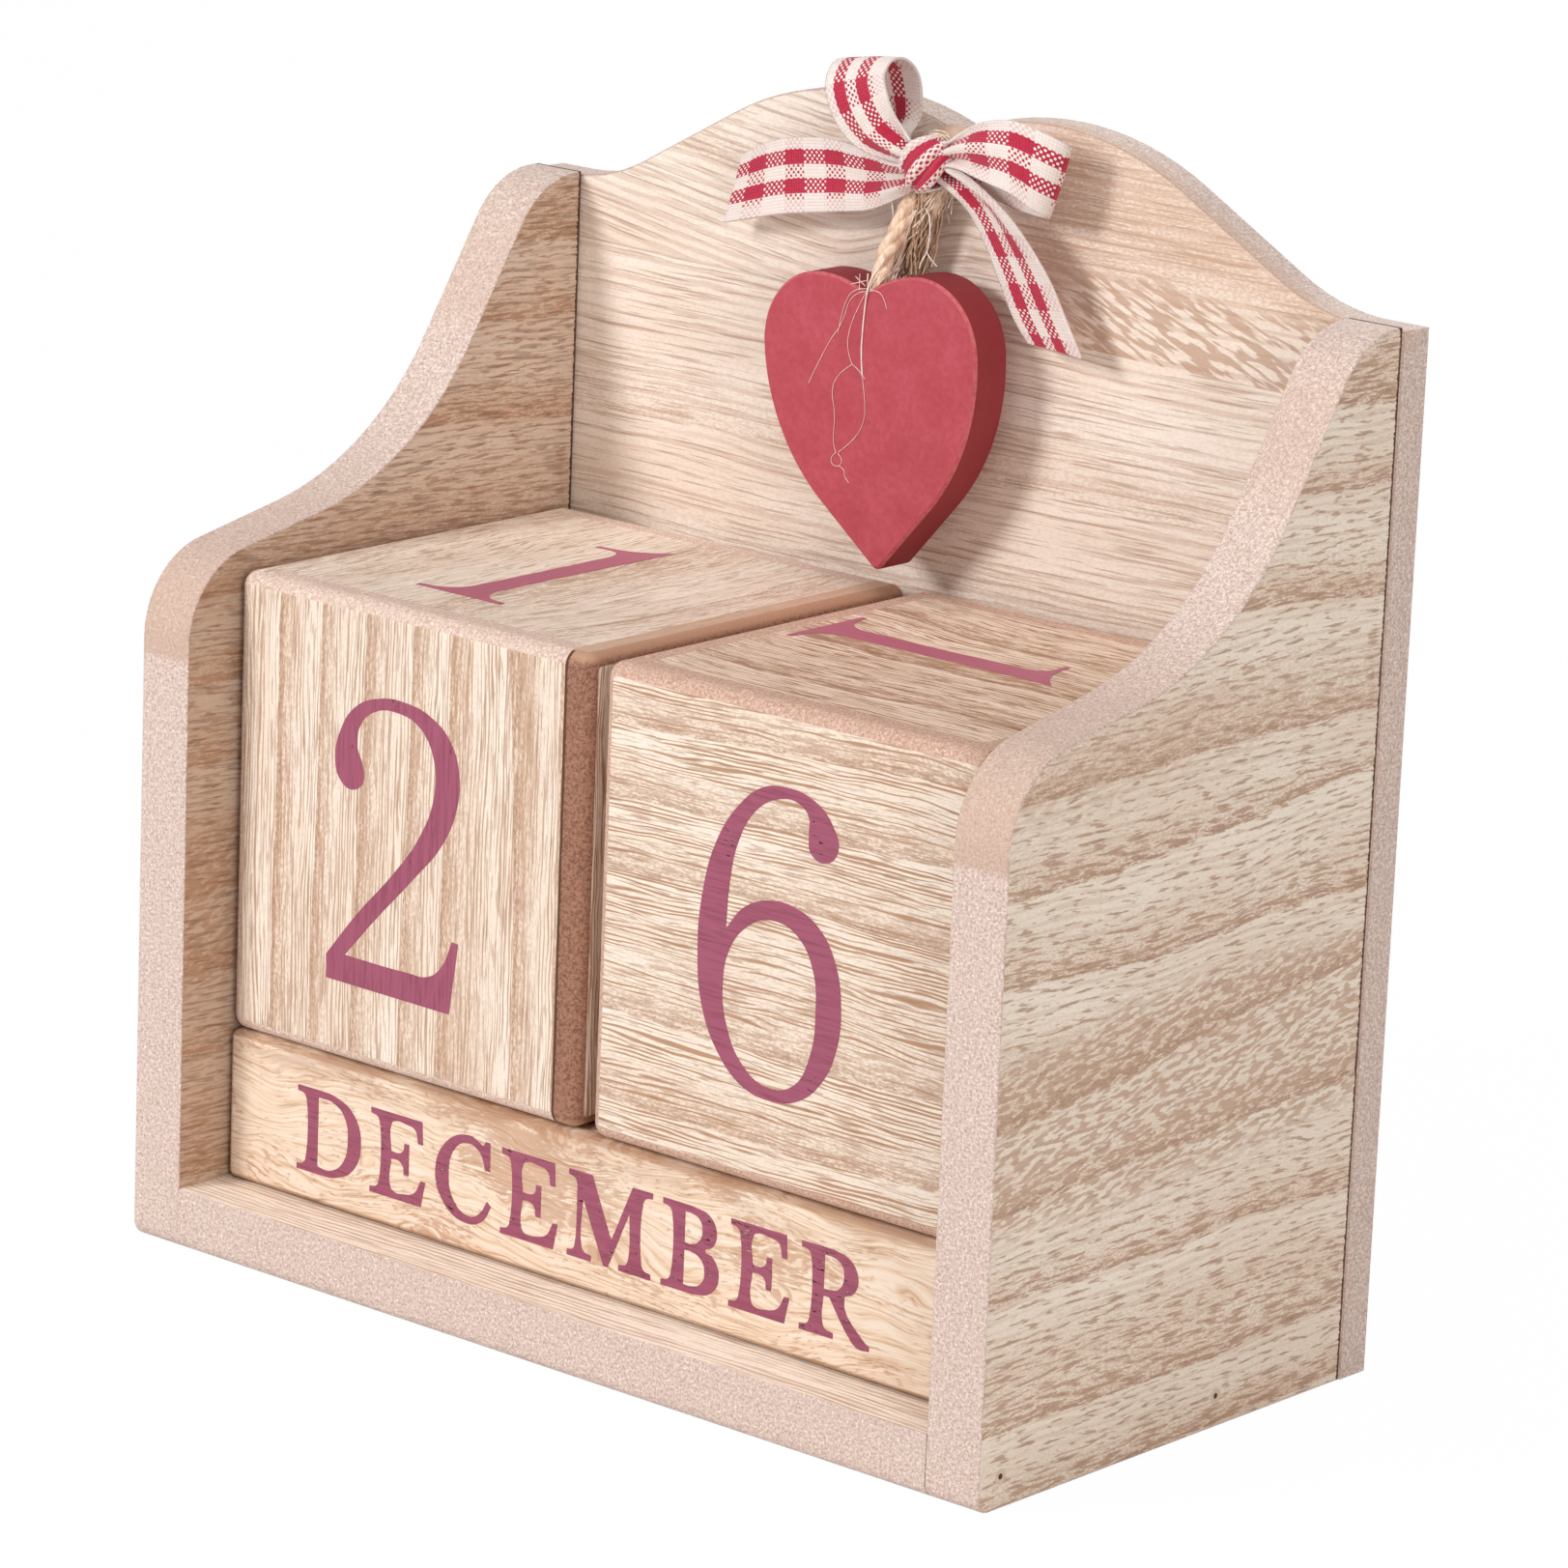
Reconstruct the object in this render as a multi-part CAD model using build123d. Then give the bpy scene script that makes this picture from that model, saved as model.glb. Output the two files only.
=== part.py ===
from build123d import *
import math
import os

# Sizes in millimetres. X runs left to right, Y front to back, Z up.
# The origin is at the middle of the base.

# Date cubes, each a box of six thin boards
cube_side = 66.5
cube_board = 4.5
cube_edge_radius = 2.2
cube_recess = 9.0
cube_rest_gap = 0.2
cube_back_gap = 2.5
cube_left_gap = 0.5
cube_middle_gap = 2.4
cube_right_gap = 2.1

# Month bars, square in section, as deep together as a cube
bar_count = 3
bar_gap = 0.4
bar_rest_gap = 0.2
bar_end_gap = 0.5
bar_edge_radius = 1.2

# Case boards
side_thickness = 9.0
bottom_thickness = 9.0
back_thickness = 6.0
board_edge_radius = 0.35
foot_radius = 2.4

# Curved top of the side boards, as the corners of its three bends, measured up from the top
# of the cubes, back from the front edge and forwards from the back board
post_rise = 0.7
knee_depth = 44.7
knee_rise = 9.8
crown_run = 8.5
crown_rise = 48.8
lip_radius = 13.0
sweep_radius = 46.0
crown_radius = 13.0

# Double-humped top of the back board, measured up from the top of the cubes and in from its ends
shoulder_rise = 48.2
shoulder_run = 13.9
shoulder_radius = 30.0
dip_rise = 64.4
hump_offset = 21.3
hump_rise = 7.5
hump_radius = 48.0

# Brads, with their places on the boards
brad_shank_radius = 0.7
brad_head_radius = 1.1
brad_head_thickness = 0.6
brad_length = 22.0
side_brad_front_inset = 4.5
side_brad_back_inset = 28.0
back_brad_height = 30.0
back_brad_top_inset = 42.0
back_brad_inset = 38.0

# Stem that the twine hangs on, with the dab of glue that carries it
stem_x = 0.2
stem_drop = 3.7
stem_radius = 1.2
dab_radius = 4.5
dab_depth = 2.2
dab_bulge_share = 0.93
dab_bulge_level = 0.45
dab_flat_share = 0.6

# Twine, with its clearances to the stem, the dab, the knot and the back board
twine_radius = 1.3
twine_stem_gap = 0.35
twine_dab_gap = 0.6
twine_knot_gap = 0.4
twine_panel_gap = 0.8
twine_wall = 1.2
twine_bend_radius = 12.0
twine_bend_share = 0.3
twine_loop_share = 0.99
twine_mouth = 2.5
twine_hole_depth = 6.0
twine_rear_offset = 2.0
twine_rear_run = 6.5

# Strands between stem and heart, each place as its offset from the loop's side and its drop,
# with how far they lie in front of or behind the loop and the back of the heart
front_strand = [(-1.6, 9.3), (-0.2, 4.9)]
rear_strand = [(-0.1, 1.8), (-1.8, 6.1), (-3.6, 11.0)]
front_strand_lead = 0.1
rear_strand_lag = 0.3
rear_strand_foot_lead = 0.5

# Heart, drawn from the foot of its notch to where its flanks would meet, then tilted and hung
# below the stem
heart_width = 38.7
heart_thickness = 7.0
heart_drop = 39.2
heart_tip_radius = 1.2
lobe_offset = 9.1
lobe_rise = 2.6
lobe_drop = 8.0
flank_radius = 30.0
heart_tilt = 5.8
heart_edge_break = 0.4
heart_shift = -6.1
heart_hang = 18.9

# Ribbon bow
ribbon_width = 10.6
ribbon_thickness = 0.6
knot_shift = 1.8
knot_width = 7.6
knot_height = 5.6
knot_depth = 3.8
knot_turn = 32.0
knot_edge_radius = 1.4

# What follows from those sizes
bar_side = (cube_side - (bar_count - 1) * bar_gap) / bar_count
inner_half = (cube_left_gap + cube_middle_gap + cube_right_gap) / 2 + cube_side
half_width = inner_half + side_thickness
side_depth = cube_recess + cube_side + cube_back_gap
front_y = -(side_depth + back_thickness) / 2
panel_y = front_y + side_depth
back_y = panel_y + back_thickness
cube_front_y = front_y + cube_recess
bar_floor = bottom_thickness + bar_rest_gap
cube_floor = bar_floor + bar_side + cube_rest_gap
cube_top = cube_floor + cube_side
side_height = cube_top + crown_rise
dip_height = cube_top + dip_rise
stem_height = dip_height - stem_drop
heart_notch_x = stem_x + heart_shift
heart_notch_height = stem_height - heart_hang
heart_back_y = panel_y - twine_panel_gap - 2 * twine_radius
heart_front_y = heart_back_y - heart_thickness
twine_loop_radius = stem_radius + twine_stem_gap + twine_radius
twine_y = panel_y - dab_depth - twine_dab_gap - twine_radius
knot_back_y = twine_y - twine_radius - twine_knot_gap


def bend_radius(before, corner, after, wanted, share=0.96):
    """The wanted radius, or the largest that the two runs at the corner leave room for."""
    a = Vector(*before) - Vector(*corner)
    b = Vector(*after) - Vector(*corner)
    turn = math.radians(180 - a.get_angle(b))
    return min(wanted, share * min(a.length, b.length) / math.tan(turn / 2))


def bent_line(points, radii):
    """A line through the points, with each corner between its ends rounded."""
    fitting = []
    for i, wanted in enumerate(radii):
        fitting.append(bend_radius(points[i], points[i + 1], points[i + 2], wanted))
    return FilletPolyline(*points, radius=fitting)


def block(x0, x1, y0, y1, z0, z1):
    return Pos((x0 + x1) / 2, (y0 + y1) / 2, (z0 + z1) / 2) * Box(x1 - x0, y1 - y0, z1 - z0)


def brad(head_point, direction):
    """A headed nail, its head flush with the board at head_point."""
    place = Plane(origin=head_point, z_dir=direction)
    low = (Align.CENTER, Align.CENTER, Align.MIN)
    head = Cylinder(brad_head_radius, brad_head_thickness, align=low)
    shank = Cylinder(brad_shank_radius, brad_length, align=low)
    return place * (head + shank)


def union(shapes):
    total = shapes[0]
    for shape in shapes[1:]:
        total = total + shape
    return total


# Case

def side_outline():
    """The side board seen from the right: depth across, height up."""
    front_foot = (front_y, 0)
    post = (front_y, cube_top + post_rise)
    knee = (front_y + knee_depth, cube_top + knee_rise)
    crown = (panel_y - crown_run, side_height)
    back_top = (panel_y, side_height)
    back_foot = (panel_y, 0)
    radii = [lip_radius, sweep_radius, crown_radius]
    top = bent_line([front_foot, post, knee, crown, back_top], radii)
    closing = Polyline(back_top, back_foot, front_foot)
    return make_face(Plane.YZ * (top + closing))


def eased(board, axis):
    """The board with the edges of its two broad faces, square to the axis, rubbed round."""
    broad = board.faces().sort_by(axis)
    return fillet(broad[0].edges() + broad[-1].edges(), board_edge_radius)


def front_foot_rounded(board):
    """The board with the lower edge of its front rounded."""
    foot = board.edges().filter_by(Axis.X).sort_by(Axis.Z)[:2].sort_by(Axis.Y)[0]
    return fillet(foot, foot_radius)


def side_board(x0):
    board = Pos(x0, 0, 0) * extrude(side_outline(), side_thickness, dir=(1, 0, 0))
    return eased(front_foot_rounded(board), Axis.X)


def bottom_board():
    return front_foot_rounded(block(-inner_half, inner_half, front_y, panel_y, 0, bottom_thickness))


def back_outline():
    """The back board seen from the front, with its two humps and the dip between them."""
    dip = (0, dip_height)
    hump = (hump_offset, dip_height + hump_rise)
    shoulder = (half_width - shoulder_run, cube_top + shoulder_rise)
    end = (half_width, cube_top + shoulder_rise)
    foot = (half_width, 0)
    right = bent_line([dip, hump, shoulder, end], [hump_radius, shoulder_radius])
    right = right + Polyline(end, foot, (0, 0), dip)
    half = make_face(Plane.XZ * right)
    return half + mirror(half, about=Plane.YZ)


def back_board():
    board = Pos(0, panel_y, 0) * extrude(back_outline(), back_thickness, dir=(0, 1, 0))
    return eased(board, Axis.Y)


def side_brad_places():
    """Head point and direction of each brad that goes through a side into the bottom board."""
    places = []
    for side in (-1, 1):
        for inset in (side_brad_front_inset, side_depth - side_brad_back_inset):
            point = (side * half_width, front_y + inset, bottom_thickness / 2)
            places.append((point, (-side, 0, 0)))
    return places


def back_brad_places():
    """Head point and direction of each brad that goes through the back board."""
    places = []
    for side in (-1, 1):
        across = side * (half_width - side_thickness / 2)
        for height in (back_brad_height, side_height - back_brad_top_inset):
            places.append(((across, back_y, height), (0, -1, 0)))
        across = side * (half_width - back_brad_inset)
        places.append(((across, back_y, bottom_thickness / 2), (0, -1, 0)))
    return places


# Date cubes

def cube_boards(x0, name, caps_across):
    """Six boards that make a hollow cube. caps_across turns the two full boards to left and right."""
    y0 = cube_front_y
    x1 = x0 + cube_side
    y1 = y0 + cube_side
    z0 = cube_floor
    z1 = z0 + cube_side
    body = block(x0, x1, y0, y1, z0, z1)
    body = fillet(body.edges(), cube_edge_radius)
    t = cube_board
    if caps_across:
        left = block(x0, x0 + t, y0, y1, z0, z1)
        right = block(x1 - t, x1, y0, y1, z0, z1)
        front = block(x0 + t, x1 - t, y0, y0 + t, z0, z1)
        back = block(x0 + t, x1 - t, y1 - t, y1, z0, z1)
    else:
        left = block(x0, x0 + t, y0 + t, y1 - t, z0, z1)
        right = block(x1 - t, x1, y0 + t, y1 - t, z0, z1)
        front = block(x0, x1, y0, y0 + t, z0, z1)
        back = block(x0, x1, y1 - t, y1, z0, z1)
    bottom = block(x0 + t, x1 - t, y0 + t, y1 - t, z0, z0 + t)
    top = block(x0 + t, x1 - t, y0 + t, y1 - t, z1 - t, z1)
    boards = {"left": left, "right": right, "front": front, "back": back}
    boards["bottom"] = bottom
    boards["top"] = top
    return {f"{name}_{place}": body & board for place, board in boards.items()}


# Month bars

def month_bar(order):
    """order counts from the front."""
    y0 = cube_front_y + order * (bar_side + bar_gap)
    half = inner_half - bar_end_gap
    bar = block(-half, half, y0, y0 + bar_side, bar_floor, bar_floor + bar_side)
    return fillet(bar.edges(), bar_edge_radius)


# Heart

def heart_point(across, up, y):
    """A point of the heart's own drawing, tilted and moved to its place."""
    c = math.cos(math.radians(heart_tilt))
    s = math.sin(math.radians(heart_tilt))
    return (heart_notch_x + across * c - up * s, y, heart_notch_height + across * s + up * c)


def heart_outline():
    notch = (0, 0)
    crest = (lobe_offset, lobe_rise)
    widest = (heart_width / 2, -lobe_drop)
    tip = (0, -heart_drop)
    lobe_inner_radius = (lobe_offset**2 + lobe_rise**2) / (2 * lobe_rise)
    centre = (heart_width / 2 - flank_radius, -lobe_drop)
    reach = math.hypot(tip[0] - centre[0], tip[1] - centre[1])
    towards_tip = math.atan2(tip[1] - centre[1], tip[0] - centre[0])
    leave = towards_tip + math.acos(flank_radius / reach)

    def on_flank(angle):
        return (centre[0] + flank_radius * math.cos(angle), centre[1] + flank_radius * math.sin(angle))

    foot = on_flank(leave)
    lobe_centre = (lobe_offset, -lobe_drop)
    lobe_width = heart_width / 2 - lobe_offset
    inner = RadiusArc(notch, crest, lobe_inner_radius)
    outer = EllipticalCenterArc(lobe_centre, lobe_width, lobe_rise + lobe_drop, arc_size=90)
    flank = ThreePointArc(widest, on_flank(leave / 2), foot)
    half = inner + outer + flank + Line(foot, tip) + Line(tip, notch)
    half = make_face(half)
    whole = half + mirror(half, about=Plane.YZ)
    return fillet(whole.vertices().sort_by(Axis.Y)[0], heart_tip_radius)


def heart_body():
    flat = heart_outline()
    solid = extrude(flat, heart_thickness)
    place = Plane(origin=heart_point(0, 0, heart_back_y), x_dir=(1, 0, 0), z_dir=(0, -1, 0))
    solid = place * Rot(0, 0, heart_tilt) * solid
    rims = solid.edges().filter_by(lambda e: abs(e.center().Y - heart_back_y) < 1e-4)
    rims = rims + solid.edges().filter_by(lambda e: abs(e.center().Y - heart_front_y) < 1e-4)
    return chamfer(rims, heart_edge_break)


# Twine, from the drilled notch up over the stem and down behind the heart

def twine_route():
    """The corners of the twine's route. Each place is measured from what it passes."""
    front = heart_front_y + twine_radius + twine_wall
    rear = heart_back_y + twine_radius
    left = stem_x - twine_loop_radius
    right = stem_x + twine_loop_radius
    over = stem_height + twine_loop_radius
    depths = [(front + twine_y) / 2, twine_y - front_strand_lead]
    points = [heart_point(0, -twine_hole_depth, front), heart_point(0, twine_mouth, front)]
    for (offset, drop), y in zip(front_strand, depths):
        points.append((left + offset, y, stem_height - drop))
    points += [(left, twine_y, over), (right, twine_y, over)]
    depths = [twine_y, twine_y + rear_strand_lag, rear - rear_strand_foot_lead]
    for (offset, drop), y in zip(rear_strand, depths):
        points.append((right + offset, y, stem_height - drop))
    points.append(heart_point(twine_rear_offset, lobe_rise, rear))
    points.append(heart_point(twine_rear_offset, lobe_rise - twine_rear_run, rear))
    return points


def twine_path():
    """Wide bends, except over the stem, where the twine is as round as the stem."""
    points = twine_route()
    over = max(z for x, y, z in points)
    radii = []
    for before, corner, after in zip(points, points[1:], points[2:]):
        if corner[2] == over:
            radii.append(twine_loop_radius * twine_loop_share)
        else:
            bend = bend_radius(before, corner, after, twine_bend_radius, twine_bend_share)
            radii.append(bend)
    return FilletPolyline(*points, radius=radii)


def twine_body():
    path = twine_path()
    section = Plane(origin=path @ 0, z_dir=path % 0) * Circle(twine_radius)
    return sweep(section, path=path)


def twine_hole():
    """The hole drilled down from the notch, as wide as the twine."""
    points = twine_route()
    path = Line(points[0], points[1])
    section = Plane(origin=points[0], z_dir=path % 0) * Circle(twine_radius)
    return sweep(section, path=path)


# Glue dab and its stem

def glue_dab_body():
    stem_length = panel_y - knot_back_y
    bulge = (dab_radius * dab_bulge_share, dab_depth * dab_bulge_level)
    outline = [(0, 0), (dab_radius, 0), bulge]
    outline += [(dab_radius * dab_flat_share, dab_depth), (stem_radius, dab_depth)]
    outline += [(stem_radius, stem_length), (0, stem_length)]
    dab = revolve(make_face(Plane.XZ * Polyline(*outline, close=True)), Axis.Z)
    return Plane(origin=(stem_x, panel_y, stem_height), z_dir=(0, -1, 0)) * dab


# Ribbon bow

def knot_body():
    knot = Box(knot_width, knot_height, knot_depth)
    knot = fillet(knot.edges(), knot_edge_radius)
    middle = (stem_x + knot_shift, knot_back_y - knot_depth / 2, stem_height)
    place = Plane(origin=middle, x_dir=(1, 0, 0), z_dir=(0, -1, 0))
    return place * Rot(0, 0, knot_turn) * knot


def ribbon(stations):
    """A band through stations. Each is the middle of the band, measured from the stem and the back
    of the knot, the share of its full width that it shows there, and the way that it points."""
    seat = Vector(stem_x, knot_back_y, stem_height)
    middles = [seat + Vector(*middle) for middle, share, across in stations]
    sections = []
    for i, (middle, share, across) in enumerate(stations):
        ahead = middles[min(i + 1, len(middles) - 1)] - middles[max(i - 1, 0)]
        across = Vector(*across).normalized()
        face = across.cross(ahead).normalized() * (ribbon_thickness / 2)
        side = across * (share * ribbon_width / 2)
        m = middles[i]
        corners = [m - side - face, m + side - face, m + side + face, m - side + face]
        sections.append(make_face(Polyline(*corners, close=True)))
    spans = [loft([a, b], ruled=True) for a, b in zip(sections, sections[1:])]
    return union(spans)


left_tail = [
    ((-0.7, -1.3, -2.1), 0.30, (0, 0, -1)),
    ((-4.7, -0.8, -3.1), 0.50, (0.1, -0.1, -1)),
    ((-10.6, 0.1, -4.1), 0.80, (0.2, -0.15, -1)),
    ((-18.3, 0.8, -4.7), 0.97, (0.2, -0.1, -1)),
    ((-27.6, 1.1, -6.3), 1.00, (0.05, -0.05, -1)),
    ((-36.5, 1.6, -9.3), 1.00, (-0.3, 0, -1)),
]
right_tail = [
    ((4.4, -1.6, -0.5), 0.30, (0.6, -0.2, 0.6)),
    ((8.4, -1.5, -2.3), 0.52, (0.9, -0.2, 0.3)),
    ((12.2, -1.2, -5.1), 0.80, (1, -0.25, 0.1)),
    ((15.1, -0.8, -8.7), 0.95, (1, -0.25, 0.1)),
    ((18.3, -0.2, -13.9), 1.00, (1, -0.18, 0.15)),
    ((21.0, 0.2, -18.9), 1.00, (1, -0.13, 0.1)),
    ((23.7, 0.4, -22.9), 1.00, (1, -0.13, -0.03)),
]
right_loop = [
    ((4.2, -2.0, 1.5), 0.23, (0.1, 0, -1)),
    ((7.8, -2.6, 2.7), 0.45, (0.2, -0.1, -1)),
    ((12.2, -3.2, 3.3), 0.75, (0.25, -0.15, -1)),
    ((17.8, -3.6, 3.3), 0.94, (0.15, -0.1, -1)),
    ((22.2, -3.0, 1.9), 1.00, (-0.15, -0.05, -1)),
    ((24.0, -1.3, 0.7), 1.00, (-0.28, -0.05, -1)),
    ((22.7, 0.5, 0.1), 1.00, (-0.28, -0.05, -1)),
    ((17.1, 1.4, 0.3), 0.98, (-0.18, -0.09, -1)),
    ((10.8, 1.1, 0.4), 0.72, (0, -0.1, -1)),
    ((6.4, 0.0, 0.5), 0.38, (0, 0, -1)),
    ((4.8, -0.7, 0.5), 0.26, (0, 0, -1)),
]
left_loop = [
    ((-0.8, -2.3, 0.9), 0.28, (0.5, 0, 0.9)),
    ((-3.3, -2.6, 1.8), 0.53, (0.6, 0, 0.8)),
    ((-6.5, -3.5, 3.7), 0.82, (0.75, 0, 0.64)),
    ((-8.8, -4.0, 6.7), 0.98, (0.85, 0, 0.5)),
    ((-10.6, -3.4, 9.8), 1.00, (0.94, 0.04, 0.3)),
    ((-11.1, -1.6, 12.1), 1.00, (0.97, 0.08, 0.2)),
    ((-11.1, 0.8, 12.6), 1.00, (0.97, 0.12, 0.12)),
    ((-10.8, 3.0, 11.2), 1.00, (0.98, 0.15, 0.05)),
    ((-10.4, 3.8, 8.5), 1.00, (0.98, 0.15, 0)),
    ((-8.8, 3.2, 5.1), 0.80, (0.97, 0.14, -0.05)),
    ((-6.0, 0.4, 2.9), 0.42, (0.97, 0.1, 0)),
    ((-2.2, -0.8, 1.1), 0.26, (0.9, 0, 0.3)),
]


def build():
    parts = {}
    side_brads = [brad(point, direction) for point, direction in side_brad_places()]
    back_brads = [brad(point, direction) for point, direction in back_brad_places()]
    side_nails = union(side_brads)
    back_nails = union(back_brads)
    parts["bottom_board"] = bottom_board() - side_nails - back_nails
    parts["left_side"] = side_board(-half_width) - side_nails - back_nails
    parts["right_side"] = side_board(inner_half) - side_nails - back_nails
    parts["back_panel"] = back_board() - back_nails
    parts["side_brads"] = Compound(children=side_brads)
    parts["back_brads"] = Compound(children=back_brads)
    tens_x = cube_left_gap - inner_half
    ones_x = tens_x + cube_side + cube_middle_gap
    parts.update(cube_boards(tens_x, "tens_cube", True))
    parts.update(cube_boards(ones_x, "ones_cube", False))
    names = ["front", "middle", "rear"]
    for order in range(bar_count):
        parts[f"{names[order]}_month_bar"] = month_bar(order)
    parts["heart"] = heart_body() - twine_hole()
    parts["twine_loop"] = twine_body()
    parts["glue_dab"] = glue_dab_body()
    knot = knot_body()
    parts["bow_knot"] = knot
    parts["bow_left_loop"] = ribbon(left_loop) - knot
    parts["bow_right_loop"] = ribbon(right_loop) - knot
    parts["bow_left_tail"] = ribbon(left_tail) - knot
    parts["bow_right_tail"] = ribbon(right_tail) - knot
    return parts


os.makedirs("parts", exist_ok=True)
for node, shape in build().items():
    export_step(shape, f"parts/{node}.step")
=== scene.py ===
"""Looks of a wooden perpetual calendar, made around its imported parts. Lengths are in mm, and those of
the camera, the lamps and the floor in metres."""

import math
import random

import bmesh
import bpy
from mathutils import Matrix, Vector


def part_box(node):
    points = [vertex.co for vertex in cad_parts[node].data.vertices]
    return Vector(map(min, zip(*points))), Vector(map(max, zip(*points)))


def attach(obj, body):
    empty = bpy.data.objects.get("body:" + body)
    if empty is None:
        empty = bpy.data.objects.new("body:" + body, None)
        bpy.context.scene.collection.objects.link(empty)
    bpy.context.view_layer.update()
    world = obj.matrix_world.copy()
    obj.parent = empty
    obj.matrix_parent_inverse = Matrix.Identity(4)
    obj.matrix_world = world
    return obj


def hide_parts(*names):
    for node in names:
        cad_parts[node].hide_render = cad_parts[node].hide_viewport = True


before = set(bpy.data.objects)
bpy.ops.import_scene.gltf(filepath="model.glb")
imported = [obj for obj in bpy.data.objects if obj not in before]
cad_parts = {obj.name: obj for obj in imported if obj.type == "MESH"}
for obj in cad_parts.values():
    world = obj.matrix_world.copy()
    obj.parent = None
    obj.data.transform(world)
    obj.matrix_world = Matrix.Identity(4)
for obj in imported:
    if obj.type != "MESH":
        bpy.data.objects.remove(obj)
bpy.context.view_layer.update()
MM = 0.001
random.seed(26)


def low(node, axis):
    """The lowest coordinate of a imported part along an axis, in mm."""
    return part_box(node)[0][axis] / MM


def high(node, axis):
    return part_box(node)[1][axis] / MM


X, Y, Z = 0, 1, 2
panel_y = low("back_panel", Y)
heart_front_y = low("heart", Y)
stem_x, stem_height, stem_radius = 0.2, 158.5, 1.2


# Shader arithmetic

def arithmetic(operation):
    return lambda value, other: value.math(operation, other)


class Value:
    """A shader socket that takes part in plain arithmetic."""

    def __init__(self, recipe, socket):
        self.recipe = recipe
        self.socket = socket

    def math(self, operation, *others):
        return self.recipe.node("Math", {"operation": operation}, [self, *others])

    __add__ = __radd__ = arithmetic("ADD")
    __sub__ = arithmetic("SUBTRACT")
    __mul__ = __rmul__ = arithmetic("MULTIPLY")
    __truediv__ = arithmetic("DIVIDE")
    __pow__ = arithmetic("POWER")

    def __rsub__(self, other):
        return self.recipe.node("Math", {"operation": "SUBTRACT"}, [other, self])

    def rises(self, start, end):
        """0 below start, 1 above end, and smooth between them."""
        settings = {"interpolation_type": "SMOOTHSTEP"}
        return self.recipe.node("MapRange", settings, {"Value": self, "From Min": start, "From Max": end})

    def falls(self, start, end):
        return 1 - self.rises(start, end)


class Recipe:
    """A material under construction."""

    def __init__(self, name, roughness, specular, sheen=0):
        self.material = bpy.data.materials.new(name)
        self.material.use_nodes = True
        self.tree = self.material.node_tree
        self.shader = self.tree.nodes["Principled BSDF"]
        steady = {"Roughness": roughness, "Specular IOR Level": specular, "Sheen Weight": sheen}
        for socket, value in steady.items():
            self.shader.inputs[socket].default_value = value

    def node(self, kind, settings, sockets, output=0):
        made = self.tree.nodes.new("ShaderNode" + kind)
        for name, value in settings.items():
            setattr(made, name, value)
        pairs = sockets.items() if isinstance(sockets, dict) else enumerate(sockets)
        for name, value in pairs:
            if isinstance(value, Value):
                self.tree.links.new(value.socket, made.inputs[name])
            else:
                made.inputs[name].default_value = value
        return Value(self, made.outputs[output])

    def split(self, vector):
        parts = self.node("SeparateXYZ", {}, [vector])
        return [parts] + [Value(self, parts.socket.node.outputs[i]) for i in (1, 2)]

    def place(self):
        """X, Y and Z on the calendar, in mm."""
        here = self.node("TexCoord", {}, {}, "Object")
        return self.split(self.scaled(here, 1 / MM))

    def facing(self):
        """How squarely the surface looks along X, Y and Z."""
        normal = self.node("TexCoord", {}, {}, "Normal")
        return self.split(self.node("VectorMath", {"operation": "ABSOLUTE"}, [normal]))

    def noise(self, a, b, c, detail=2, roughness=0.55):
        spot = self.node("CombineXYZ", {}, [a, b, c])
        sockets = {"Vector": spot, "Scale": 1, "Detail": detail, "Roughness": roughness}
        return self.node("TexNoise", {}, sockets)

    def speckle(self, spot, size, detail=2, roughness=0.55, seed=0):
        """Noise of one size in all directions."""
        x, y, z = [c / size for c in spot]
        return self.noise(x, y, z + seed if seed else z, detail, roughness)

    def mix(self, share, a, b):
        return self.node("Mix", {"data_type": "RGBA"}, {0: share, 6: a, 7: b}, 2)

    def scaled(self, vector, factor):
        """A place or a colour, times a number."""
        return self.node("VectorMath", {"operation": "SCALE"}, {"Vector": vector, "Scale": factor})

    def finish(self, colour, height=None, depth_mm=0.05):
        self.tree.links.new(colour.socket, self.shader.inputs["Base Color"])
        if height is not None:
            bump = self.node("Bump", {}, {"Height": height, "Distance": depth_mm * MM, "Strength": 1})
            self.tree.links.new(bump.socket, self.shader.inputs["Normal"])
        return self.material


def colour(red, green, blue):
    """A colour as a screen shows it, from 0 to 255, made linear."""
    shown = [channel / 255 for channel in (red, green, blue)]
    return (*[c / 12.92 if c <= 0.04045 else ((c + 0.055) / 1.055) ** 2.4 for c in shown], 1)


# Wood

CREAM = colour(244, 232, 218)
PALE = colour(249, 238, 227)
TAN = colour(226, 203, 183)
LINE = colour(184, 145, 116)
BROWN = colour(182, 142, 114)
DEEP_BROWN = colour(140, 101, 76)
SEAM = colour(92, 60, 44)
BURNT_EDGE = colour(192, 158, 136)


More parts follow.
